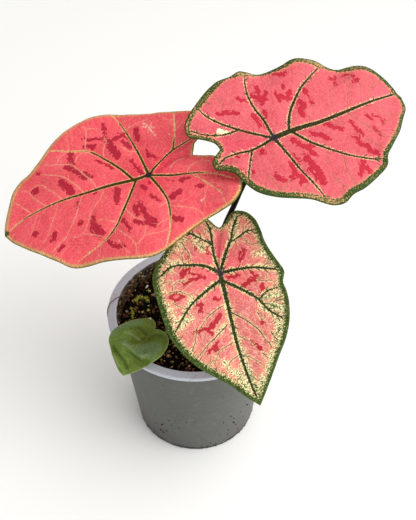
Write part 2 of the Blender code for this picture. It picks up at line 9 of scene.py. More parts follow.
import bpy
import numpy as np
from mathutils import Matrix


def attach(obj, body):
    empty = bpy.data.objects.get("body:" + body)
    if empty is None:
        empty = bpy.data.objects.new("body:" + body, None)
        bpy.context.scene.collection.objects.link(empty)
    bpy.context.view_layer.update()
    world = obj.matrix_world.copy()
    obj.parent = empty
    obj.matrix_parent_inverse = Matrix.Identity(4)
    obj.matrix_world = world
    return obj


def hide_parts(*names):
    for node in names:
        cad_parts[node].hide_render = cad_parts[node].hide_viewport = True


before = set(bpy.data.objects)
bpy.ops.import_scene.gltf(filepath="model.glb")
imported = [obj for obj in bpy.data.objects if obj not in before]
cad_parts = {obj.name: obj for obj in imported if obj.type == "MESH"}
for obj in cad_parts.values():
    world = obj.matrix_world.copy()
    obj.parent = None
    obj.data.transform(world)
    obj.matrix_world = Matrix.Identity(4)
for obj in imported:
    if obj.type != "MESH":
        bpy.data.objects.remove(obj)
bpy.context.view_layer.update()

MM = 0.001
print("CAD nodes:", ", ".join(sorted(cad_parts)))

# %% [markdown]
# ## Small tools
#
# Colours are written as the sRGB hex values that one reads off a screen, and Cycles works in linear light, so one
# function turns them. A second one adds a node, sets it and links it, so a material reads as a list of steps, and a
# third ends the material. The others put arrays of points and faces into a mesh object, make smooth random relief
# from a table of random numbers for a whole surface at once, draw a curve through points, and close rings to a body.

# %% Colour, node, mesh and noise tools
COLOURS = {"out": 2, "data_type": "RGBA"}  # has a Mix node blend colours: input 0 is the share, 6 and 7 the colours


def linear(hex_colour):
    """sRGB to linear: each channel is divided by 12.92 when dark, else ((c + 0.055) / 1.055) to the power 2.4."""
    channels = np.array([int(hex_colour[k:k + 2], 16) for k in (1, 3, 5)]) / 255
    bent = np.where(channels <= 0.04045, channels / 12.92, ((channels + 0.055) / 1.055) ** 2.4)
    return (*bent.tolist(), 1.0)


def add(tree, kind, inputs=(), out=0, **settings):
    """Adds one node, sets its properties, fills or links its inputs, and gives back one output. The inputs have names,
    or stand in the node's own order, which for a Map Range is value, from min, from max, to min and to max."""
    node = tree.nodes.new("ShaderNode" + kind)
    for name, value in settings.items():
        setattr(node, name, value)
    for key, value in dict(inputs if isinstance(inputs, dict) else enumerate(inputs)).items():
        if isinstance(value, bpy.types.NodeSocket):
            tree.links.new(value, node.inputs[key])
        else:
            node.inputs[key].default_value = linear(value) if isinstance(value, str) else value
    return node.outputs[out]


def new_material(name):
    """An empty material with its output node; gives back the material and its tree."""
    material = bpy.data.materials.new(name)
    material.use_nodes = True
    material.node_tree.nodes.clear()
    return material, material.node_tree


def close_material(tree, surface):
    """Links the finished surface to the material's output."""
    output = tree.nodes.new("ShaderNodeOutputMaterial")
    tree.links.new(surface, output.inputs["Surface"])


def new_object(name, data):
    """An object that holds some data, linked into the scene."""
    item = bpy.data.objects.new(name, data)
    bpy.context.scene.collection.objects.link(item)
    return item


def mesh_piece(name, points, faces, materials, slot, fields=None, replaces=(), face_material=None):
    """Points in metres and faces of three or four corners become one smooth object that rides on the root body."""
    mesh = bpy.data.meshes.new(name)
    faces = np.asarray(faces)
    mesh.vertices.add(len(points))
    mesh.vertices.foreach_set("co", np.asarray(points, np.float32).ravel())
    mesh.loops.add(faces.size)
    mesh.loops.foreach_set("vertex_index", faces.ravel().astype(np.int32))
    mesh.polygons.add(len(faces))
    mesh.polygons.foreach_set("loop_start", np.arange(0, faces.size, faces.shape[1], dtype=np.int32))
    if face_material is not None:
        mesh.polygons.foreach_set("material_index", np.asarray(face_material, np.int32))
    mesh.update(calc_edges=True)
    mesh.shade_smooth()
    for field, values in (fields or {}).items():
        values = np.asarray(values, np.float32)
        kind = "FLOAT" if values.ndim == 1 else "FLOAT_VECTOR"
        attribute = mesh.attributes.new(field, kind, "POINT")
        attribute.data.foreach_set("value" if kind == "FLOAT" else "vector", values.ravel())
    for material in materials:
        mesh.materials.append(material)
    piece = new_object(name, mesh)
    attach(piece, "root")
    if replaces:
        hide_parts(*replaces)
    print(f"{name}: {len(points)} points, {len(faces)} faces")
    return piece


def relief(x, y, size, seed):
    """Smooth value noise from -1 to 1: random heights on a square lattice of the given size, blended between the
    four nearest with the curve 3t^2 - 2t^3."""
    table = np.random.default_rng(seed).uniform(-1, 1, (64, 64))
    u, v = np.asarray(x) / size, np.asarray(y) / size
    i, j = np.floor(u).astype(int), np.floor(v).astype(int)
    s, t = u - i, v - j
    s, t = s * s * (3 - 2 * s), t * t * (3 - 2 * t)
    near = table[i % 64, j % 64] * (1 - s) + table[(i + 1) % 64, j % 64] * s
    far = table[i % 64, (j + 1) % 64] * (1 - s) + table[(i + 1) % 64, (j + 1) % 64] * s
    return near * (1 - t) + far * t


def curve_through(points, count):
    """A Catmull-Rom curve: each stretch is the cubic that passes through its two points with slopes taken from their
    neighbours, read at `count` even steps."""
    points = np.asarray(points, float)
    ends = np.vstack([2 * points[0] - points[1], points, 2 * points[-1] - points[-2]])
    at = np.linspace(0, len(points) - 1, count)
    piece = np.minimum(at.astype(int), len(points) - 2)
    f = (at - piece)[:, None]
    a, b, c, d = ends[piece], ends[piece + 1], ends[piece + 2], ends[piece + 3]
    return 0.5 * (2 * b + (c - a) * f + (2 * a - 5 * b + 4 * c - d) * f**2 + (3 * b - a - 3 * c + d) * f**3)


def unit(vectors):
    """Vectors divided by their own length."""
    vectors = np.asarray(vectors, float)
    return vectors / np.linalg.norm(vectors, axis=-1, keepdims=True)


def ring_quads(rings, sides):
    """Quads between the rings of a grid whose rows close on themselves, seen from outside as counter-clockwise when
    the rows go up and the columns turn counter-clockwise."""
    row, column = np.meshgrid(np.arange(rings - 1), np.arange(sides), indexing="ij")
    after = (column + 1) % sides
    here, there = row * sides, (row + 1) * sides
    return np.stack([here + column, here + after, there + after, there + column], -1).reshape(-1, 4)


def cap_quads(pole, first, sides, upward):
    """A closed end: quads that each join the pole to three neighbouring points of a ring with an even number."""
    k = np.arange(0, sides, 2)
    a, b, c = first + k, first + k + 1, first + (k + 2) % sides
    quads = np.stack([np.full(len(k), pole), a, b, c], -1)
    return quads if upward else quads[:, ::-1]


def closed_body(rings, poles):
    """Points and faces of a stack of rings that a pole closes at each end."""
    count, sides = rings.shape[:2]
    faces = np.vstack([
        ring_quads(count, sides),
        cap_quads(count * sides, 0, sides, upward=False),
        cap_quads(count * sides + 1, (count - 1) * sides, sides, upward=True),
    ])
    return np.vstack([rings.reshape(-1, 3), poles]), faces


def circle_of(sides):
    """Points of the unit circle at even angles, counter-clockwise: (cos a, sin a)."""
    angles = np.arange(sides) * 2 * np.pi / sides
    return np.stack([np.cos(angles), np.sin(angles)], -1)


# %% [markdown]
# ## Camera, floor and light
#
# The picture looks down on the plant by 45 degrees from about half a metre, with a lens a little longer than normal.
# A pale floor and one wide soft light overhead give the even daylight of a product picture: the rim of the pot faces
# the light and is bright, and its wall sees only the floor and is darker; the pot's material adds to both with a rim
# painted paler and a wall painted darker. The sky is brighter towards the window at the right, so the left side of
# the pot falls into a soft shade. The view transform stays plain, so that a hex colour comes out as itself where the
# light is full.

# %% Camera
IMAGE = (416, 520)
LOOK_AT = np.array([9.1, 0.0, 156.8]) * MM
ELEVATION = np.radians(45.3)
DISTANCE = 0.509
FOCAL_PIXELS = 787

ahead = np.array([0, np.cos(ELEVATION), -np.sin(ELEVATION)])
camera_data = bpy.data.cameras.new("photo_camera")
camera_data.sensor_width = 36
camera_data.lens = FOCAL_PIXELS / max(IMAGE) * camera_data.sensor_width
camera_data.clip_start = 0.02
camera = new_object("photo_camera", camera_data)
camera.location = LOOK_AT - ahead * DISTANCE
camera.rotation_euler = (np.pi / 2 - ELEVATION, 0, 0)
bpy.context.scene.camera = camera
bpy.context.scene.view_settings.view_transform = "Standard"
print("camera at", np.round(np.array(camera.location), 3), "lens", round(camera_data.lens, 1), "mm")

# %% Floor, sky and soft light
FLOOR_REACH = 3  # metres to each side
SKY_LEFT, SKY_RIGHT = 0.24, 1.56  # brightness of the sky at either side
floor_material, tree = new_material("floor_matt_white_paper")
place = add(tree, "TexCoord", out="Object")
fibres = add(tree, "TexNoise", {"Vector": place, "Scale": 900, "Detail": 2}, out="Fac")
tone = add(tree, "Mix", {0: fibres, 6: "#fafaf9", 7: "#f5f5f4"}, **COLOURS)
close_material(tree, add(tree, "BsdfPrincipled", {"Base Color": tone, "Roughness": 0.9}))

floor_mesh = bpy.data.meshes.new("floor")
far = FLOOR_REACH
floor_mesh.from_pydata([(-far, -far, 0), (far, -far, 0), (far, far, 0), (-far, far, 0)], [], [(0, 1, 2, 3)])
floor_mesh.materials.append(floor_material)
floor = new_object("floor", floor_mesh)

sky = bpy.data.worlds.new("soft_sky")
bpy.context.scene.world = sky
sky.use_nodes = True
sky.node_tree.nodes["Background"].inputs["Color"].default_value = linear("#fffefb")
toward = add(sky.node_tree, "NewGeometry", out="Position")
sideways = add(sky.node_tree, "SeparateXYZ", (toward,), out="X")
glow = add(sky.node_tree, "MapRange", (sideways, -1, 1, SKY_LEFT, SKY_RIGHT))
sky.node_tree.links.new(glow, sky.node_tree.nodes["Background"].inputs["Strength"])

# Name, diameter in metres, watts, place and turn
LAMPS = (
    ("overhead_softbox", 0.9, 4.6, (0.55, -0.35, 0.95), (0.4, 0.55, 0)),
    ("window_right", 0.8, 3.0, (1.05, -0.35, 0.42), (np.pi / 2 - 0.3, 0, 1.25)),
)
for name, size, power, place, turn in LAMPS:
    lamp_data = bpy.data.lights.new(name, "AREA")
    lamp_data.shape, lamp_data.size, lamp_data.energy = "DISK", size, power
    lamp = new_object(name, lamp_data)
    lamp.location, lamp.rotation_euler = place, turn
    print(name, size, "m,", power, "W")

# %% [markdown]
# ## The form of a blade
#
# A caladium blade is peltate: its stalk joins the underside, inside the outline, and the main ribs run out from that
# point. So each blade has its own frame in millimetres: the hub at (0, 0), +y along the midrib and +x to the right.
# The edge is drawn as two open curves from the tip to the notch. The surface is a grid of directions from the hub and
# shares of the way to the edge, and the grid lines bend to follow the ribs, so that a rib never crosses a cell. The
# outlines and waves are the CAD model's own, on a finer grid. So are the ribs, except that they start at their forks
# and that the right midrib ends more to the side, as in the photograph.

# %% Blade tables
# "seat" is the hub in world millimetres, with the directions of the tip and of the upper side. A wave lifts the blade:
# x, y, rise, spread. A rib starts at the hub or at its fork from another rib. "rib_widths" are half widths at the hub
# and at the edge, "midrib" says how many times as wide the midrib is, and "fades_from" at which share of its length
# each rib's dark line ends. A margin entry is a place near the edge, the margin's width there and its share of tan.
LEAVES = {
    "left": {
        "seat": (-25.5, -0.5, 228), "ahead": (-0.93, -0.21, -0.30), "up": (-0.25, -0.34, 1),
        "fold": 0.06, "tip_droop": 0.0009, "lobe_droop": 0.0012, "side_droop": 0.0006,
        "waves": (
            (30, 76, -3, 14), (53, 44, 2.5, 14), (50, 5, -1.5, 12), (32, -34, 2, 12),
            (-39, 57, -3, 13), (-50, 18, 1.5, 13), (-36, -44, 6, 9), (-44, -18, -1.5, 9),
        ),
        "tip": (3.5, 95.5), "notch": (2.5, -28),
        "right": (
            (9.5, 94), (19, 90.5), (29.5, 85.5), (36, 78.5), (38.5, 70), (42.5, 61.5), (47.5, 53), (51.5, 43.5),
            (54.5, 33), (55.5, 23), (54, 14), (50, 5.5), (44, -6.5), (38.5, -18.5), (33.5, -30), (29.5, -39),
            (25, -45), (19.5, -46.5), (15, -43), (12, -36.5), (9.5, -32), (5.5, -29.5),
        ),
        "left": (
            (-4, 91), (-13, 83), (-22.5, 73.5), (-30.5, 65.5), (-37, 59), (-40.5, 51), (-43.5, 39.5), (-47.5, 29.5),
            (-51.5, 19.5), (-53.5, 11.5), (-52.5, 3.5), (-48.5, -6), (-44.5, -15.5), (-42.5, -24.5), (-42, -33),
            (-41, -41), (-36.5, -46.5), (-29, -49), (-20, -49), (-11.5, -46.5), (-4, -40.5), (-0.5, -33.5),
        ),
        "ribs": (
            ((0, 0), (0.5, 8.5), (3.5, 23.5), (5.5, 39), (8, 54.5), (9, 69.5), (8, 82.5), (3.5, 95.5)),
            ((0, 9), (11.5, 15), (22.5, 22.5), (32, 30.5), (37, 41), (43.5, 52)),
            ((0, 0), (14, 1.5), (29, 4), (40.5, 6.5), (48.5, 9)),
            ((10, -18), (20.5, -22.5), (31.5, -25.5)),
            ((0, 0), (6, -10), (10, -18), (12, -26.5), (14.5, -35), (17.5, -41.5)),
            ((0, 0), (-6, -12), (-9, -21.5), (-11.5, -28.5), (-16, -37), (-23, -44)),
            ((-12, -25.5), (-20.5, -30.5), (-30, -35.5)),
            ((0, 0), (-12, -4), (-22, -6), (-31, -5), (-40, -2.5), (-48.5, 1.5)),
            ((0, 8), (-10, 15), (-20, 22.5), (-25.5, 27), (-30.5, 34.5), (-33, 44), (-34.5, 51.5)),
        ),
        "rib_widths": (0.75, 0.2), "midrib": 1.35,
        "fades_from": (0.84, 0.56, 0.86, 0.3, 2, 0.6, 0.02, 0.62, 0.66),
        "margin": (
            (8, 92, 2.5, 0.7), (28, 82, 2.8, 0.9), (42, 67, 2.5, 0.9), (48, 45, 1.8, 0.7), (53, 27, 1.6, 0.6),
            (51, 8, 1.4, 0.7), (41, -12, 1, 0.9), (31, -33, 0.9, 0.9), (-29, -46, 1.3, 0.6),
            (-38, -43, 1.6, 0.5), (-41, -29, 1.3, 0.9), (-45, -7, 1.3, 0.7), (-49, 12, 1.5, 0.8),
            (-45, 32, 1.5, 0.8), (-38, 54, 1.8, 0.7), (-19, 72, 1.7, 0.6), (-2, 89, 1.6, 0.5),
        ),
    },
    "right": {
        "seat": (46.5, 5.5, 250), "ahead": (0.885, 0.465, 0.03), "up": (0.2, -0.45, 1),
        "fold": 0.05, "tip_droop": 0.0006, "lobe_droop": 0.0010, "side_droop": 0.0006,
        "waves": (
            (-25, 73, 3, 9), (-28, 58, -3.5, 7), (-43, 36, 3.5, 10), (-41, 11, -3, 7), (-46, 1, 2.5, 6),
            (50, 15, -3.5, 8), (35, 59, 3, 6), (42, 51, -2, 7), (4, 86, -4, 10), (-33, -38, 2, 10), (6, -42, -2, 7),
        ),
        "tip": (0, 93.5), "notch": (-4.5, -32),
        "right": (
            (7.5, 92), (14.5, 85), (22, 76.5), (29.5, 65.5), (34, 59), (39.5, 56), (43, 48.5), (47, 36.5),
            (48, 28), (50.5, 21.5), (49.5, 15.5), (46.5, 10), (42, 2.5), (38, -6.5), (33, -17), (26.5, -24.5),
            (19, -28.5), (12.5, -30.5), (8, -34.5), (5, -39), (0.5, -39), (-2.5, -35.5),
        ),
        "left": (
            (-6, 91), (-13.5, 87.5), (-19.5, 83), (-23.5, 77.5), (-26, 72), (-27.5, 66), (-29, 60.5), (-32.5, 55),
            (-37, 48.5), (-40, 40.5), (-41.5, 33), (-40.5, 26), (-40.5, 19), (-41.5, 10.5), (-43.5, 4), (-45, -1),
            (-44, -7), (-44, -15), (-40.5, -23.5), (-35, -32.5), (-29, -41), (-23.5, -45.5), (-17.5, -45.5),
            (-13.5, -39), (-9, -33.5),
        ),
        "ribs": (
            ((0, 0), (-0.5, 11), (-0.5, 21), (0, 31), (-1, 49.5), (-2.5, 68), (-3.6, 83), (-3.6, 93)),
            ((0, 12), (9.5, 19), (18, 28), (25.5, 37.5), (31.5, 48), (34.5, 54)),
            ((0, 0), (13, 3), (23.5, 5), (34.5, 8.5), (44, 11.5)),
            ((3.5, -16), (10.5, -21), (17, -25)),
            ((0, 0), (2.5, -14.5), (1.5, -22.5), (1, -31), (2.5, -35)),
            ((-11.5, -18), (-12, -27.5), (-15.5, -36.5), (-20, -42.5)),
            ((0, 0), (-6, -9.5), (-12.5, -18), (-18, -24.5), (-25, -31), (-31.5, -34)),
            ((0, 0), (-12, -0.5), (-22, -2.5), (-31, -2), (-41, 1)),
            ((0, 10), (-10.5, 16), (-17.5, 23), (-24, 31), (-28, 38.5), (-32, 46.5)),
        ),
        "rib_widths": (0.85, 0.35), "midrib": 1.75, "fades_from": (2,) * 9,
        "margin": (
            (-28, -40, 2.7, 0.5), (-36, -32, 3.5, 0.3), (-43, -20, 3.5, -0.1), (-44, -9, 1.1, 0.2), (-44, 0, 3, 1),
            (-42, 13, 1.1, 0.4), (-42, 22, 2.2, 0), (-41, 35, 2.7, 0.1), (-35, 49, 3.5, 1), (-29, 60, 1.1, 0.3),
            (-26, 70, 3, 0.5), (-16, 80, 3.2, -0.2), (-2, 92, 2, 0), (11, 87, 2.2, 0.1), (29, 66, 2.8, -0.1),
            (39, 56, 3.2, -0.2), (45, 44, 3.5, -0.2), (51, 26, 3.6, -0.1), (48, 16, 3.4, 0.8), (41, 2, 2.6, 0.4),
            (35, -11, 2.8, 0), (27, -22, 3.2, -0.1), (19, -28, 3.2, 0.1), (8, -35, 3, 0.1), (0, -37, 2.7, 0.2),
            (-4, -31, 1.6, 0.5), (-13, -35, 1.9, 0.5), (-20, -41, 2.4, 0.5),
        ),
    },
    "front": {
        "seat": (16.5, -26, 172), "ahead": (0.28, -0.70, -0.66), "up": (0.25, -0.85, 1),
        "fold": 0.10, "tip_droop": 0.0012, "lobe_droop": 0.0, "side_droop": 0.0004,
        "waves": (
            (-37, 17, -2.5, 6), (-40, 9, 1.5, 6), (-33, 40, 1.5, 12), (38, 34, -2, 14), (42, 4, 2, 14),
            (10, 72, -1.5, 8),
        ),
        "tip": (-3, 86), "notch": (-7.5, -26.5),
        "right": (
            (4, 78.5), (11.5, 69), (20, 60.5), (27, 53.5), (33, 45.5), (38, 36), (41, 27), (42, 18),
            (42.5, 8), (42.5, -1), (41, -9), (36.5, -15.5), (30, -21), (23.5, -26.5), (16, -32), (8, -36.5),
            (2, -37), (-2.5, -33), (-5, -29),
        ),
        "left": (
            (-8.5, 78.5), (-14.5, 70), (-21, 60.5), (-28, 50.5), (-33, 40.5), (-36, 30), (-37, 22), (-36.5, 16),
            (-38.5, 10), (-36.5, 3.5), (-34, -4), (-32, -11.5), (-31.5, -19), (-30, -26), (-26, -31.5), (-20, -34),
            (-15.5, -32.5), (-12, -29),
        ),
        "ribs": (
            ((0, 0), (0.5, 12.5), (1, 25), (1.5, 36.5), (1.5, 49.5), (0, 66), (-3, 86)),
            ((0, 4), (12, 8.5), (22.5, 13.5), (29, 19), (35, 25)),
            ((0, 0), (8, -6.5), (17, -9.5), (28, -11.5), (37, -7.5)),
            ((-0.5, -17.5), (7, -24.5), (13, -29.5)),
            ((0, 0), (0.5, -11.5), (-0.5, -19.5), (-1.5, -27.5), (0, -33.5)),
            ((0, 0), (-7, -11), (-12, -17.5), (-15.5, -24.5), (-20.5, -31)),
            ((-10, -16), (-17.5, -18), (-22.5, -20), (-28, -19.5)),
            ((0, 0), (-12.5, 1), (-21, 2.5), (-29, 5.5), (-35, 8)),
            ((-19, 22), (-25.5, 18.5), (-33, 18.5)),
            ((0, 5), (-9, 12.5), (-17.5, 21), (-23, 30.5), (-29, 37)),
        ),
        "rib_widths": (0.9, 0.45), "midrib": 1.45, "fades_from": (2,) * 10,
        "margin": (
            (-22, -32, 2.2, 0.2), (-31, -22, 3, 0.1), (-35, -5, 3.4, 0.1), (-38, 9, 3.2, 0.1), (-35, 27, 3.2, 0.1),
            (-32, 39, 3.4, 0.1), (-25, 57, 3.2, 0.1), (-12, 75, 2.8, 0.1), (-4, 84, 2.6, 0.2), (4, 75, 3, 0.15),
            (18, 63, 3.2, 0.15), (32, 44, 3.4, 0.15), (38, 30, 3.6, 0.15), (41, 12, 3.6, 0.15), (40, -4, 3.4, 0.2),
            (34, -16, 3, 0.3), (26, -22, 2.6, 0.3), (15, -28, 2.2, 0.3), (4, -31, 1.8, 0.3), (-5, -29, 0.8, 0.3),
            (-8, -25, 0.6, 0.3), (-14, -31, 1.4, 0.3),
        ),
    },
    "small": {
        "seat": (-32, -39.5, 124), "ahead": (-0.52, -0.67, -0.53), "up": (-0.25, -0.6, 1),
        "fold": 0.14, "tip_droop": 0.003, "lobe_droop": 0.0, "side_droop": 0.002,
        "waves": ((21, 16, -3, 6), (-14, 3, 1, 6)),
        "tip": (0, 26.5), "notch": (-2.5, -9.5),
        "right": (
            (4.5, 25), (11, 20.5), (18, 15.5), (21, 12), (21.5, 7.5), (19.5, 1.5), (15, -5), (9.5, -10),
            (4, -14), (-0.5, -13),
        ),
        "left": (
            (-4, 22.5), (-9, 16), (-13, 9.5), (-16, 3.5), (-16.5, -2.5), (-15, -7.5), (-11.5, -10.5), (-6.5, -11),
        ),
        "ribs": (
            ((0, 0), (1, 9), (0, 26.5)),
            ((0, 1), (9, 3.5), (17, 10)),
            ((0, 0), (9, -3.5), (15.5, -2)),
            ((0, 0), (1, -8), (2.5, -12)),
            ((0, 0), (-4.5, -5.5), (-10, -8.5)),
            ((0, 0), (-8, -1), (-15, 0)),
            ((0, 1), (-4.5, 6), (-10, 11)),
        ),
        "rib_widths": (0.35, 0.15), "midrib": 1.2, "fades_from": (2,) * 7,
        "margin": ((0, 26, 0.5, 0.2), (20, 10, 0.5, 0.2), (-16, 0, 0.5, 0.2), (4, -13, 0.5, 0.2)),
    },
}

# %% [markdown]
# The side veins leave the ribs and loop towards the margin. They are drawn as thin raised lines of their own, because
# they are narrower than the cells of the grid. The blotches are strokes: a half width and the points that the stroke
# passes through. Both are in the blade's millimetres.

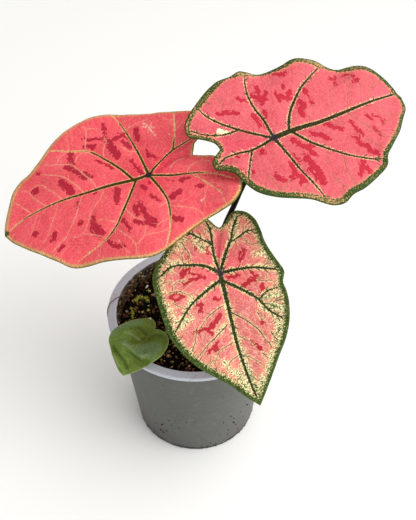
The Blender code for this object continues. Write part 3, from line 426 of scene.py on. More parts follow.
# %% Side veins and blotches
BRANCHES = {
    "left": (
        (0.25, (6.3, 32), (11.9, 33.8), (17.6, 37), (22.7, 39.7), (27.8, 43.1), (32.5, 51.7), (37.1, 60.1)),
        (0.25, (6.5, 39.9), (10.3, 42.2), (14.7, 44.5), (19.3, 47.4), (23.3, 50.6), (26.5, 54.8), (32, 63.1)),
        (0.2, (8.8, 54.1), (12.4, 56.1), (16.9, 59.3), (22, 62.5), (25.8, 65.4), (27.2, 68.8), (26.3, 72)),
        (0.2, (9.6, 65.1), (14.2, 68.4), (19.8, 71.8), (24.6, 73.8), (27.5, 76.1), (28.2, 78.8)),
        (0.2, (10.1, 75.6), (14.1, 78.4), (18.4, 81.2), (21.3, 83.5), (22.2, 86.1)),
        (0.18, (24.4, 22), (27.9, 21.4), (31, 19.7), (33.7, 18), (37.7, 18.7)),
        (0.2, (34.4, 31.9), (38.9, 30.1), (43.6, 28.6), (47.4, 28.3), (50.5, 29.8)),
        (0.16, (46.6, 28.2), (46.5, 24.3), (44.3, 21)), (0.13, (32.1, 51.8), (35.2, 49.5), (37, 46.1), (37.9, 43.7)),
        (0.12, (28.1, 40.3), (31.1, 37.5), (33, 34.3)),
        (0.22, (4.2, 41.8), (0.6, 44), (-4.1, 46.4), (-8.2, 48.6), (-11.8, 51.5), (-14.7, 54.2), (-17.2, 56.1),
         (-19.5, 60), (-21.4, 64.4), (-23.1, 67.4)),
        (0.15, (5.5, 57.7), (0.9, 60.1), (-3.5, 63.1), (-8.3, 65.4), (-12.6, 68.3), (-14.9, 72.2)),
        (0.1, (6.9, 71.3), (2.8, 73.5), (-1.3, 75.7), (-5.7, 78.5)),
        (0.15, (2.1, 27.9), (-3, 31.1), (-6.2, 35.1), (-10.1, 39.2), (-14.7, 41.6), (-18.8, 44.6), (-21, 47.2),
         (-20.7, 51.1), (-18.7, 54.5)),
        (0.14, (-23.2, 25), (-19.9, 29.3), (-17.2, 33.1), (-16.4, 36.2)),
        (0.14, (-28.6, 35.3), (-23.7, 41.9), (-21.3, 45.9)),
        (0.2, (-27.4, 26.6), (-31.7, 23.9), (-36, 21.1), (-40.6, 19.1), (-44.4, 18.5), (-48.8, 19.4)),
        (0.15, (-43.1, 18.2), (-41.4, 14.5), (-38.9, 12.1), (-36, 10.7), (-33.1, 10.7)),
        (0.12, (-39.8, 11.7), (-40, 8.2), (-40.7, 4.2), (-41, -1)),
        (0.17, (-16.9, 18.4), (-20.4, 17.4), (-23.4, 15.7), (-26.1, 13.8), (-29.3, 10.3)),
        (0.18, (-26.9, -7.3), (-29, -11.5), (-31.7, -15.4), (-33.8, -18.9), (-37, -21.5), (-39.5, -22.6)),
        (0.12, (-22.7, -6), (-23.4, -2.8), (-24.6, -0.6)), (0.11, (-33.7, -3.6), (-34.7, 0.8), (-36.1, 4.2)),
        (0.14, (-25.2, -32.7), (-26.2, -35.5), (-26.9, -37.8)),
        (0.12, (-22.9, -30.2), (-26.4, -28), (-31.1, -26), (-35.5, -25.1)),
        (0.22, (-7.5, -21.8), (-5.5, -24.2), (-4.4, -27.6), (-4.7, -31.8), (-6.3, -36.2)),
        (0.16, (-1.2, -13.1), (0.8, -16.1), (1.9, -19.5), (1.3, -22.5)),
        (0.13, (36.2, 4.7), (37.7, 0.4), (37.6, -3.5), (37.1, -7.4), (36.9, -10), (33.1, -10.9)),
        (0.2, (18.8, 2.7), (20.7, 7.4), (25.4, 10)), (0.11, (29.2, -25.6), (30.6, -21.4), (35.2, -17.5)),
        (0.1, (22.5, -24.1), (25.1, -29.4), (26.5, -33)), (0.11, (-35, 27.2), (-42.4, 25.2), (-47.2, 22.6)),
        (0.11, (-32.2, 38.9), (-36.7, 39.4), (-38.8, 40.6)), (0.15, (-30.6, -35.6), (-34.9, -36.2), (-39.7, -36.4)),
        (0.1, (39.6, 41.2), (44.5, 40.6), (48.7, 41.5)),
    ),
    "right": (
        (0.14, (-37.9, -21.5), (-34.1, -20.7), (-30.4, -20), (-28.3, -19.7)), (0.2, (-41.1, -16.7), (-39, -15.7)),
        (0.12, (-34.1, -27.2), (-30.5, -26.4)), (0.14, (-28.2, 36.4), (-31.8, 34.6), (-35.1, 34), (-38.1, 34.8)),
        (0.12, (-2.3, 40.3), (-5.9, 42.3), (-10.8, 44.3), (-16.3, 47.5)),
        (0.13, (-2.8, 52.1), (-8.7, 55.8), (-14.7, 59.7), (-19.7, 62.5), (-23.3, 65.8)),
        (0.16, (-2.2, 66.8), (-6.8, 70.1), (-10.5, 73.7), (-12.2, 77.7), (-13.6, 84.2)),
        (0.13, (-9.9, 65.7), (-14.3, 68.7), (-16.9, 72.9), (-18.5, 77.6)),
        (0.18, (0.4, 51), (4.8, 53.5), (9.2, 55.9), (13.6, 58.4), (18.1, 60.8), (19.9, 64.2), (23.5, 66.3)),
        (0.14, (-0.7, 70.7), (3.2, 72.3), (6.6, 75), (8.5, 78.8), (9.5, 84.7)),
        (0.14, (1, 39.9), (4.4, 41.4), (7.6, 42.4)), (0.16, (15.6, 26.6), (19.2, 25.2), (22.5, 22.9), (26, 21.3)),
        (0.19, (23.4, 33.1), (27.3, 32.3), (30.9, 30.9), (33.8, 30.6), (37.5, 30.6), (40.8, 30.8), (45, 31.2)),
        (0.17, (32.6, 21), (36.7, 21.6), (39.8, 23.4), (43, 25), (46, 26.1)),
        (0.1, (18.8, 50.1), (21.2, 52.9), (24.8, 56.4), (28.9, 58.5)),
        (0.16, (19.3, -15.9), (22.8, -13.9), (27.1, -13), (32.2, -11.8)),
        (0.15, (27.2, -3.4), (28.9, -6.9), (31, -9.9), (32.7, -12.1)), (0.14, (33, 6), (34.2, 2), (36.9, -1.4)),
        (0.1, (31.3, -2.3), (35.3, -3.8)), (0.12, (-1.4, 24.4), (-3.5, 26.3), (-5.6, 28.1)),
        (0.15, (-41.3, 1.7), (-41.3, -1.1), (-42.3, -2.6)), (0.12, (12, 74.3), (13.8, 69), (13.9, 66.5)),
    ),
    "front": (
        (0.31, (18, -24.6), (17.1, -21.2), (16, -17.7), (15.7, -15.1), (16, -11.4)),
        (0.22, (14.9, -26.1), (12.1, -23.6), (9, -21.2), (7.5, -18.1)),
        (0.17, (2.1, -30.3), (1.6, -27.6), (1.6, -24.4)),
        (0.2, (-19.3, -16.9), (-21.8, -12.5), (-25.5, -10.4), (-30.1, -8), (-33.1, -5)),
        (0.24, (-25.6, 4.3), (-30.2, 1.8), (-33.3, 1.1), (-35.5, 1.4)),
        (0.18, (-28.5, 4.9), (-27.6, 8.3), (-26.3, 11.7)),
        (0.25, (-20.9, 10.6), (-24.3, 11.9), (-29.4, 13.6), (-31.2, 15.2)),
        (0.24, (32.1, 2.3), (30.9, 0.1), (27.9, -1.7), (21.5, -1.4)),
        (0.28, (34.9, 3.2), (30, 3.5), (25.7, 5.4), (21.5, 9.5)), (0.24, (37.4, -3.4), (34.2, -3.4), (30.4, -3.3)),
        (0.28, (34, 9), (31.8, 11.7), (28.7, 14.1), (26.9, 15.2)),
        (0.31, (3.8, 19.8), (8.4, 20.7), (13.4, 22.8), (17.2, 24.9), (20.1, 27.6), (22, 28.7)),
        (0.31, (23.6, 28.7), (25.2, 32.4), (26.7, 36.2), (29.3, 39.6), (30.2, 40.9)),
        (0.45, (4.3, 31.3), (8.9, 34.1), (13.4, 36.5), (18.5, 39.2), (22.4, 41.7), (25.8, 44.3)),
        (0.24, (3.7, 42.6), (7.9, 44), (11.9, 44.9), (14.7, 46.6), (16.4, 49.3), (19, 52.7)),
        (0.35, (2.9, 51.9), (7, 52.8), (10.5, 55.4), (12.7, 59)),
        (0.45, (-0.2, 25.2), (-3.6, 28.3), (-6.9, 31.7), (-10.1, 35.6), (-13.2, 39.7), (-15.4, 45.7), (-17.8, 50.7),
         (-18.4, 53)),
        (0.28, (-15.1, 29.1), (-16.8, 34.4), (-19.7, 33.9)), (0.42, (-20.2, 43.4), (-21.6, 46.4), (-23.4, 49.7)),
        (0.28, (-0.3, 40.1), (-3.9, 42.8), (-6.8, 45.8), (-8.7, 49)),
        (0.35, (-11.7, 54.2), (-13.6, 56.9), (-16.1, 59.8)),
        (0.28, (0.7, 52), (-2.7, 53.6), (-6.2, 56.8), (-9, 60.3), (-12.5, 63.6)),
        (0.28, (-0.3, 65.2), (-3, 67.2), (-5, 69.9), (-7.6, 72.3)), (0.28, (1.7, 62.5), (5.8, 65.5), (7.8, 67)),
        (0.35, (-33, 24.3), (-30.2, 25.1), (-26.5, 26.6)), (0.39, (-33.4, 27), (-30.3, 26.1), (-28, 27.4)),
        (0.22, (20.4, -13.1), (20.1, -16.1), (20, -18.6)), (0.22, (-29, -26.7), (-25.9, -25), (-22, -22.9)),
        (0.2, (-31.9, -16.9), (-29.2, -16.4), (-26.4, -17.8)), (0.25, (-27.2, 36.7), (-23.9, 37), (-21.7, 38.3)),
        (0.24, (22.3, 52.3), (19.7, 50), (17.8, 48)), (0.22, (28.7, -21.6), (26.1, -19.6), (22.8, -20)),
    ),
    "small": (),
}
BLOTCHES_AND_SHEEN = {
    "left": (
        (1.2, (46.5, 16.5), (36, 18.5)), (1.2, (39, 28.5), (36, 20)), (1.2, (41.5, 30.5)),
        (1.2, (36, 32), (33.5, 25)), (1.2, (33, 27.5)), (2.3, (33, 17), (20, 14.5)), (1.5, (32.5, 13), (34, 6)),
        (1.2, (35.5, 9), (29.5, 5)), (1.5, (29, 9), (23, 5)), (0.9, (23.5, 27.5), (20, 24), (13, 18.5)),
        (2, (35.5, 41.5), (27, 42.5)), (1.5, (28, 46.5), (23, 41.5), (14.5, 37)), (1.2, (18, 37), (13.5, 33)),
        (2.3, (20.5, 52), (9.5, 47)), (2.9, (23.5, 69.5)), (0.9, (34, 65)), (2.3, (-6.5, 75.5)),
        (1.5, (-12.5, 63), (-16, 65.5)), (1.2, (-22, 60.5), (-24, 63.5)), (2, (-13.5, 47)),
        (1.8, (-13.5, 38.5), (-20.5, 39)), (2.9, (-20.5, 39), (-26, 36.5)), (1.2, (1.5, 44.5), (-1.5, 46)),
        (2, (-1.5, 20.5), (-10, 22)), (1.1, (2.5, 33.5)), (1.2, (-31, 34.5), (-36, 32), (-41.5, 25.5)),
        (1.8, (-39, 26.5)), (1.2, (-23.5, 22), (-28.5, 20.5), (-32.5, 19)), (1.2, (13, 7), (7.5, 5.5), (2, 3)),
        (1.8, (33.5, -1), (26.5, -0.5)), (1.2, (15.5, -3.5), (12, -3.5), (9, -7)), (1.2, (-6, 5.5), (-9.5, 4)),
        (1.2, (-6, 1)), (0.9, (-15.5, 2), (-20.5, -1.5)), (1.5, (-18.5, 12.5), (-24, 12.5)),
        (1.8, (-18, 10), (-25.5, 8.5), (-30, 7), (-33, 4.5)), (1.5, (-28, 15.5), (-32.5, 8.5), (-35, 5)),
        (0.7, (-7.5, -9), (-11.5, -12)), (1.5, (-13, -17), (-12.5, -21)), (2.3, (-21, -26)),
        (2, (-21, -9), (-20, -14)), (1.8, (-34.5, -5.5), (-37.5, -9.5)), (0.6, (-15, -30.5)), (0.6, (-23, -39)),
    ),
    "right": (
        (1.1, (-32.5, 5.5), (-27, 3.5)), (1.7, (-28, -0.5), (-23.5, 5.5)), (1.1, (-21.5, 3), (-26.5, 7.5)),
        (0.9, (-28, 8), (-25.5, 10)), (1.1, (-37, 20), (-35, 24)), (0.4, (-39.5, 13), (-39, 16)),
        (1.4, (-27.5, 20.5)), (1.1, (-25.5, 14), (-20.5, 14)), (1.4, (-23, 15), (-19.5, 19.5)),
        (0.9, (-22, 20), (-18.5, 22)), (0.9, (-23.5, 22.5), (-19.5, 23)), (1.1, (-29.5, -9), (-26, -5)),
        (1.1, (-24, -24.5), (-23, -19.5), (-21, -14)), (1.1, (-17, -5.5), (-12, -2), (-7.5, -1.5)),
        (1.1, (-15, -5.5), (-9.5, -4.5)), (1.1, (-16.5, 2), (-13.5, 1.5)), (0.6, (11, -27.5), (14.5, -25)),
        (1.1, (15.5, -22)), (1.7, (6, -11)), (0.7, (3, -24.5)), (1.1, (21.5, -10.5), (25, -9.5), (26.5, -7)),
        (1.1, (18, 1), (20.5, 1)), (0.6, (14, 5), (18, 7)), (1.1, (20.5, 3), (25.5, -0.5), (27, -3)),
        (1.4, (26, 1), (30.5, 4.5), (31, 0.5)), (0.9, (-22.5, 31.5), (-17, 32), (-12.5, 32)),
        (2, (-16, 25.5), (-13, 26.5), (-10.5, 23), (-7.5, 23)),
        (1.4, (5, 9.5), (10, 12), (12.5, 14.5), (12.5, 20)), (1.4, (14, 15), (19, 17)),
        (1.4, (5.5, 22), (8, 27), (11.5, 30.5)), (1.4, (2.5, 34), (7, 38), (8.5, 41)),
        (0.9, (-24, 51), (-24.5, 56), (-19.5, 53)), (0.9, (-23.5, 62), (-22, 65), (-17.5, 67), (-17, 64.5)),
        (1, (6, 49), (11.5, 50), (16.5, 51.5)), (0.6, (16, 45.5), (18, 48.5)),
        (1.4, (21, 46.5), (23.5, 50), (28.5, 51), (31, 53.5)), (1.4, (31.5, 44), (35.5, 40.5), (39, 37)),
        (1.7, (33.5, 41.5), (39, 44)), (0.9, (5.5, 62), (8.5, 63)), (0.9, (7, 65), (9.5, 69), (14, 69)),
        (0.3, (10, 69), (12, 71.5)), (0.9, (15, 61), (19.5, 62.5)),
        (2, (18.5, 11.5), (23.5, 12.5), (29.5, 14), (34.5, 14)), (1.1, (26, 10), (31.5, 11)),
    ),
    "front": (
        (1.9, (19, -8.5), (23.5, -5)), (0.9, (18.5, -5), (14, -2.5), (10.5, 0.5)),
        (1.2, (24, 0.5), (19.5, -1), (14.5, -0.5)), (1.2, (33.7, 5.4), (31.4, 4.2), (28.4, 5), (27, 7), (29.4, 8.5),
         (32, 8.4), (33.5, 7), (33.7, 5.4)),
        (0.9, (8.5, 14), (4.5, 15.5)), (0.9, (20.5, 15), (16.5, 15.5)), (1.2, (17, 15), (18.5, 19)),
        (1.6, (7.5, 25), (14, 29.5), (17, 31)), (1.2, (25.5, 30), (18.5, 30), (15.5, 33.5)),
        (1.2, (20, 44), (16, 42), (14.5, 44.5)), (1.2, (13.5, 40), (16.5, 44)), (0.9, (21.5, 45)),
        (1.2, (5.5, -23), (4, -20)), (0.9, (4, -17.5), (4.5, -13)), (0.9, (11, -20.5), (10.5, -18)),
        (0.9, (16.5, -15), (17, -11.5)), (0.7, (-16.9, -10), (-18.6, -9.2), (-17.5, -6.9), (-15.3, -4.7),
         (-13.6, -2.9)),
        (0.7, (-13.6, -2.9), (-13.4, -5.5), (-14.7, -7.7), (-16.9, -10)),
        (1.1, (-4, 4), (-10, 4.5)), (1.6, (-11.5, 11.5), (-16.5, 10), (-20.5, 8.5)), (1.2, (-19, 5), (-20, 10.5)),
        (1.6, (-23, 14.5), (-22, 19), (-19, 20.5)), (0.6, (10.5, 8.5), (7, 8.5)), (1.9, (-16.5, 36.5)),
        (1.2, (-7, 46), (-9.5, 48.5), (-12, 51.5)),
    ),
    # On the young leaf: a grey-green waxy bloom, with painted sheen where its folds and upper lobe catch the light
    "small": (
        (2.6, (0, 7), (-4, 7), (-8, 5)), (3.2, (-5, 3.5), (-10, 0)), (2.6, (-11, -1), (-10.5, 5)), (1.2, (6, 8),
         (10, 8)),
        (1.5, (20, 6.5), (17.4, 1.5), (13.2, -3.8), (8.3, -8.4)),
    ),
}
# Painted shade in the creases and folds, where the colour is painted deeper, and scars and flecks where the pink is
# pale
CREASE_SHADES = {
    "left": (
        (1.2, (1, -2.5), (3.5, -11.5), (3, -20.5), (3.5, -28)), (1, (7.5, -20.5), (11, -31)),
        (1.5, (-17, -36), (-27.5, -46)),
    ),
    "right": ((2.2, (-7.5, -29.5), (2, -8.5)), (1.5, (-3, -30), (4.5, -10)), (1, (2, -3), (-2, -10))),
    "front": ((1.5, (-7, -26.5), (-3.5, -16.5), (0, -7)), (0.8, (-9, -24), (-5, -12))),
    "small": (
        (0.3, (16.5, 14.5), (9.5, 17), (5, 18.5), (0.5, 21.5)), (0.4, (3.5, 11.5), (-1, 12), (-6, 12.2), (-8.5, 10)),
        (0.8, (1, -4), (7, -5), (11, -2)), (0.2, (-2, -2), (-4, -6), (-8, -8)),
    ),
}
FLECKS = {
    "left": (
        (0.5, (36, -6.5), (31, -9)), (0.5, (31, -9), (23.5, -11)), (0.4, (33, -6), (29, -12)),
        (0.5, (43.5, 3.5)), (0.4, (21, -19)), (0.4, (22, 62.5)), (0.4, (16, 80)), (0.3, (1.5, 56)),
        (0.5, (-30.5, -26), (-31, -24)), (0.3, (34, -12), (28, -8)),
    ),
    "right": ((1.0, (-14.8, -28.2), (-13.3, -26)), (0.6, (-13.3, -26), (-11.7, -23))),
    "front": ((0.6, (-27, -3)), (0.4, (-7.5, 55))),
    "small": ((0.7, (4, -14)),),
}
# Patches: the green tip, the zones of cream and green stipple, and painted highlights along the young leaf's fold
# ridges and upper edge
PATCHES_AND_HIGHLIGHTS = {
    "left": ((1.5, (3.5, 95.5), (4, 93.5)),),
    "right": ((1.0, (-27.8, 39)), (0.8, (33.6, 53))),
    "front": (
        (2.2, (8.8, -22.2), (6.6, -17.5)), (1.1, (27.1, -14.3), (19.6, -11.3)), (1.3, (29.6, -18.7), (29.1, -9.8)),
        (1.0, (36, -8), (37.6, 1.5)), (2.2, (-20.5, 22), (-34.5, 22.2)), (2.6, (-24.1, 27.5), (-31.2, 31.5)),
        (1.8, (-19.2, 26.7), (-27.9, 36.3)), (2.2, (-26.5, 39.1), (-22.2, 51.2)), (2, (-17.9, 55.7), (-12.5, 67)),
        (3.0, (0.7, 60.4), (-3.4, 77.9)), (2.2, (6.2, 61.2), (1.7, 77.6)), (2.2, (-8, 69.5), (-5.3, 80.4)),
        (1.3, (21.4, 9.9), (27.1, 16.3)), (1.1, (37, 10.3), (34.7, 20.9)), (1.4, (25.8, 21.1), (32.1, 25.4)),
        (1.5, (0.5, 19), (1.2, 28.3)), (1.4, (1.3, 33.4), (0.9, 48.8)), (1.5, (-0.3, 49.1), (-0.8, 59.6)),
        (2.2, (-30, -5.9), (-34.8, 5.7)), (1.7, (-18.1, -27.2), (-13.8, -16.9)), (1.4, (-26.9, -28.6), (-30.6, -21.1)),
        (1.6, (16.1, -25.1), (22.3, -21.7)), (1.4, (12.6, 52.8), (9.3, 60.3)), (1.3, (6, 31.3), (11.3, 34.2)),
        (1.4, (-23.9, -5.1), (-28.4, -5.1)),
    ),
    # On the young leaf: painted highlights along its fold ridges and upper edge, where the wax catches the light
    "small": (
        (0.25, (5.6, 9.5), (1.5, 9.9), (-2.9, 10.4), (-5.7, 9.5), (-7.4, 7.1)), (0.15, (9.9, 9), (5.4, 8.6),
         (3.5, 6.7)),
        (0.3, (18.3, 0.6), (14.7, -6.1), (8.6, -11.2)), (0.2, (13, 2), (8, 1), (3, 1.5)), (0.5, (12, 19), (5.5, 22.6)),
    ),
}
# Folds raise the blade along a stroke: rise and spread in millimetres, then the points
FOLDS = {
    "left": (
        (0.9, 1.6, (2, -4), (6, -14), (7, -26), (10, -36)), (-0.9, 1.6, (0, -4), (3.3, -13), (3, -27)),
        (-0.6, 2.2, (-14, -34), (-28, -46)),
    ),
    "right": ((-0.9, 1.8, (1, -6), (-5, -24)), (0.7, 1.5, (-3, -8), (-9, -26))),
    "front": ((-1.2, 1.8, (0, -7), (-3.5, -16.5), (-7, -26)),),
    "small": (
        (1.5, 2.0, (10, 8), (5, 8.8), (1.5, 9), (-3, 9.2), (-6, 8.2), (-7.5, 6)),
        (-1.9, 2.0, (6, 12.4), (-1, 13.0), (-6, 13.2), (-9, 11.5)),
        (-1.2, 2.2, (1, -0.5), (4, 2.5), (7.5, 4.5)), (-1.5, 2.8, (1, -4.5), (7, -5)), (1.2, 4, (14, 4), (9, -7)),
        (-1.3, 1.6, (-2, -2), (-3.5, -5.5), (-6, -8), (-11, -8.5)), (1.0, 2.5, (-12, -2), (-12, 5)),
        (-1.8, 1.2, (17, 14), (9.7, 17), (5, 18.5), (1.5, 20.5)), (1.4, 1.6, (13, 18.5), (5.5, 22.5), (0.6, 25)),
    ),
}

# %% Grid of a blade
FINE_STEP, FINE_RINGS = 0.95, 92  # millimetres between grid lines along the edge, and lines from hub to edge
SMALL_STEP, SMALL_RINGS = 0.57, 50
SMALL_SCALE = 0.62  # how thick the young leaf's ribs and stalk are, against the others'
SLOTS = {"left": "leaf_pink", "right": "leaf_pink", "front": "leaf_mottled", "small": "leaf_green"}


def blade_axes(leaf):
    """The hub in world millimetres, and the blade's x, y and z directions as rows."""
    up = unit(leaf["up"])
    ahead = np.asarray(leaf["ahead"], float)
    ahead = unit(ahead - (ahead @ up) * up)
    return np.asarray(leaf["seat"], float), np.stack([np.cross(ahead, up), ahead, up])


def to_world(leaf, x, y, z):
    """World metres: the hub plus x, y and z times the blade's three directions."""
    seat, axes = blade_axes(leaf)
    return (seat + np.stack([x, y, z], -1) @ axes) * MM


def blade_height(leaf, x, y):
    """A shallow fold along the midrib, a droop to tip, lobes and sides that grows with the square of the distance,
    and round Gaussian waves."""
    z = leaf["fold"] * (np.sqrt(x**2 + 9) - 3) - leaf["side_droop"] * x**2
    z -= leaf["tip_droop"] * np.maximum(y, 0) ** 2 + leaf["lobe_droop"] * np.maximum(-y, 0) ** 2
    for at_x, at_y, rise, spread in leaf["waves"]:
        z += rise * np.exp(-((x - at_x) ** 2 + (y - at_y) ** 2) / (2 * spread**2))
    return z


def turn_from_notch(leaf, x, y):
    """The direction from the hub, clockwise from the notch, 0 to 2 pi."""
    return np.mod(np.arctan2(x, y) - np.arctan2(*leaf["notch"]), 2 * np.pi)


def blade_edge(leaf, count=900):
    """The whole outline, clockwise from the notch, as points."""
    left, right = (curve_through([leaf["tip"], *leaf[half], leaf["notch"]], count) for half in ("left", "right"))
    return np.vstack([left[::-1], right[1:]])


def blade_grid(leaf, rings, step):
    """Grid lines from hub to edge. A rib's own bend gives its line's direction at each ring, and the lines between
    two ribs share their bends: direction = a + share * (b - a)."""
    edge = blade_edge(leaf)
    edge_turns = turn_from_notch(leaf, *edge.T)
    edge_turns[0], edge_turns[-1] = 0, 2 * np.pi
    reach = np.maximum.accumulate(edge_turns), np.hypot(*edge.T)
    bends = [np.zeros(len(rings))]
    for rib in sorted(leaf["ribs"], key=lambda rib: turn_from_notch(leaf, *rib[-1])):
        route = curve_through(rib[1:], 60)
        turns = turn_from_notch(leaf, *route.T)
        distance = np.maximum.accumulate(np.hypot(*route.T))
        bends.append(np.interp(rings * np.interp(turns[-1], *reach), distance, turns))
    bends.append(np.full(len(rings), 2 * np.pi))
    turns, distances = [], []
    for a, b in zip(bends, bends[1:]):
        mean_reach = np.interp((a[-1] + b[-1]) / 2, *reach)
        lines = max(3, round((b[-1] - a[-1]) * mean_reach / step))
        share = np.arange(lines) / lines
        turns.append(a[:, None] + share * (b - a)[:, None])
        distances.append(rings[:, None] * np.interp(a[-1] + share * (b[-1] - a[-1]), *reach))
    turns, distances = np.hstack(turns), np.hstack(distances)
    if turns.shape[1] % 2:
        turns, distances = np.delete(turns, -1, 1), np.delete(distances, -1, 1)
    world_turns = turns + np.arctan2(*leaf["notch"])
    return distances * np.sin(world_turns), distances * np.cos(world_turns)


# %% [markdown]
# ## Marks as distances
#
# Every mark on the blade is near a line: a vein, a stroke of a blotch, or the edge. So the script measures, for each
# grid point, how far it is from each kind of line, and stores those distances on the mesh in millimetres. Distances
# change slowly from cell to cell, so even a 1 mm grid carries them well. The material then paints a coat wherever a
# distance is below a level, and adds noise to the distance first, which makes the ragged, stippled edges of the real
# leaf, much finer than the grid.

# %% Distance fields
FAR = 40.0  # further than any mark reaches, in millimetres
RIB_RUN_ON = 2.5  # millimetres that a rib runs on past its last point, into the margin
FORK_FROM, FORK_WIDTH = 13, 0.55  # a rib that starts this far from the hub is a fork, with this share of the width
FADE_LENGTH = 0.12  # share of a rib's length over which its dark line fades out
KIND_STEP = 7.3  # moves the teeth pattern on from one rib to the next
TEETH_LEAN = 0.6  # how far the teeth lean back along the rib, for each millimetre away from it
FADED_PALE, FADED_DARK = 0.2, 3  # millimetres by which a faded rib's pale and dark lines are narrower
TAN_FROM, TAN_RISE = 0.45, 8  # the tan stays this far outside the margin's inner line, and how sharply it ends


def passed_along(line):
    """The length from a line's start to each of its points."""
    return np.append(0, np.cumsum(np.hypot(*np.diff(line, axis=0).T)))


def clearance(place, line, half_start, half_end):
    """The distance from each place to a line of points, less the line's half width there, and how far along the line
    the nearest point is, from 0 to 1."""
    line = np.asarray(line, float)
    if len(line) == 1:
        return np.hypot(*(place - line[0]).T) - half_start, np.zeros(len(place))
    step, passed = np.diff(line, axis=0), passed_along(line)
    length = np.hypot(*step.T)
    offset = place[:, None] - line[:-1]
    along = np.clip((offset * step).sum(-1) / length**2, 0, 1)
    gap = np.hypot(*np.moveaxis(offset - along[..., None] * step, -1, 0))
    share = (passed[:-1] + along * length) / passed[-1]
    clear = gap - (half_start + (half_end - half_start) * share)
    nearest = clear.argmin(1)
    rows = np.arange(len(place))
    return clear[rows, nearest], share[rows, nearest]


def nearest_stroke(place, strokes):
    """The smallest clearance to a set of strokes, each a half width and its points."""
    best = np.full(len(place), FAR)
    for half, *points in strokes:
        best = np.minimum(best, clearance(place, points, half, half)[0])
    return best


STROKES = {"patch_and_highlight": PATCHES_AND_HIGHLIGHTS, "blotch_and_sheen": BLOTCHES_AND_SHEEN, "crease_shade": CREASE_SHADES, "fleck": FLECKS}


def margin_at(leaf, x, y):
    """The width of the margin and its share of tan in the direction of each place, blended between the entries."""
    at = np.array(leaf["margin"], float)
    turns = turn_from_notch(leaf, at[:, 0], at[:, 1])
    order = turns.argsort()
    here = turn_from_notch(leaf, x, y)
    return tuple(np.interp(here, turns[order], at[order, k], period=2 * np.pi) for k in (2, 3))


def blade_fields(side, leaf, x, y):
    """All the distances in millimetres that the leaf's material reads, one array for each."""
    place = np.stack([x, y], -1)
    rib, (run, kind, fade) = np.full(len(x), FAR), np.zeros((3, len(x)))
    start_half, end_half = leaf["rib_widths"]
    for number, points in enumerate(leaf["ribs"]):
        wider = leaf["midrib"] if number == 0 else 1.0
        fork = FORK_WIDTH if np.hypot(*points[0]) > FORK_FROM else 1.0
        route = curve_through(points, 24) if len(points) > 2 else np.array(points, float)
        if number > 0:
            route = np.append(route, [route[-1] + RIB_RUN_ON * unit(route[-1] - route[-2])], axis=0)
        clear, share = clearance(place, route, start_half * wider * fork, end_half * wider**0.5)
        nearer = clear < rib
        fade = np.where(nearer, np.clip((share - leaf["fades_from"][number]) / FADE_LENGTH, 0, 1), fade)
        run = np.where(nearer, share * passed_along(route)[-1], run)
        kind, rib = np.where(nearer, KIND_STEP * number, kind), np.minimum(rib, clear)
    branch = np.full(len(x), FAR)
    for half, *points in BRANCHES[side]:
        branch = np.minimum(branch, clearance(place, curve_through(points, 16), half, half / 2)[0])
    outline = blade_edge(leaf, 90)
    edge, around = clearance(place, outline, 0, 0)
    width, tan = margin_at(leaf, x, y)
    margin = edge - width
    return {
        "rib": rib + FADED_PALE * fade,
        "rib_dark": rib + FADED_DARK * fade,
        "branch": branch,
        "edge": edge,
        "margin": margin,
        "tan": np.maximum(TAN_RISE * (margin + TAN_FROM), 1 - 2 * tan),
        **{name: nearest_stroke(place, strokes[side]) for name, strokes in STROKES.items()},
        "hub": np.hypot(x, y),
        "leaf_place": np.stack([x, y, 0 * x], -1),
        "rib_way": np.stack([run - TEETH_LEAN * rib, rib, kind], -1),
        "edge_way": np.stack([around * passed_along(outline)[-1], edge, 0 * x], -1),
    }


# %% [markdown]
# ## Leaf skin
#
# A caladium blade is a thin, slightly waxy leaf. Its colour lies in layers of cells: clear tissue over pink sap, green
# cells that fill the margin and line the veins, and red blotches whose edges follow the smallest veins. The material
# paints it the same way, as a list of coats from the ground colour up. Each coat covers the places where its distance,
# roughened by a texture, is below a level. The fine net of veins is a Voronoi pattern that only the bump and a faint
# tint use. The sheen of the wax is a plain dielectric gloss at a roughness near 0.5. A few coats paint light into the
# colour: painted shade in the creases and folds, and on the young leaf painted highlights along its fold ridges and a
# painted sheen on its upper lobe.

# %% Leaf material
NET_CELLS = (0.42, 0.24, 1)  # cells of the finest net for each millimetre along and away from the rib
NET_LINE = (0.10, 0.02)  # where its lines begin and are full, as shares of a cell
PATTERN_SHIFT = 11.7  # takes each pattern from another part of the noise
# Noise patterns: the stored place they follow, cells per millimetre in x and y, detail and roughness. "rib_way" runs
# along the nearest rib in x and away from it in y, so a pattern that is stretched in y makes teeth on the rib.
PATTERNS = {
    "drift": ("leaf_place", (0.07, 0.07), 3, 0.5),
    "patches": ("leaf_place", (0.16, 0.16), 3, 0.6),
    "mottle": ("leaf_place", (0.25, 0.25), 4, 0.9),
    "ragged": ("leaf_place", (0.9, 0.9), 3, 0.5),
    "specks": ("leaf_place", (1.2, 1.2), 1, 0.5),
    "stipple": ("leaf_place", (1.5, 1.5), 1, 0.5),
    "grain": ("leaf_place", (1.4, 1.4), 3, 0.6),
    "teeth": ("rib_way", (1.1, 0.35), 2, 0.6),
    "edge_teeth": ("edge_way", (0.9, 0.35), 1, 0.5),
}


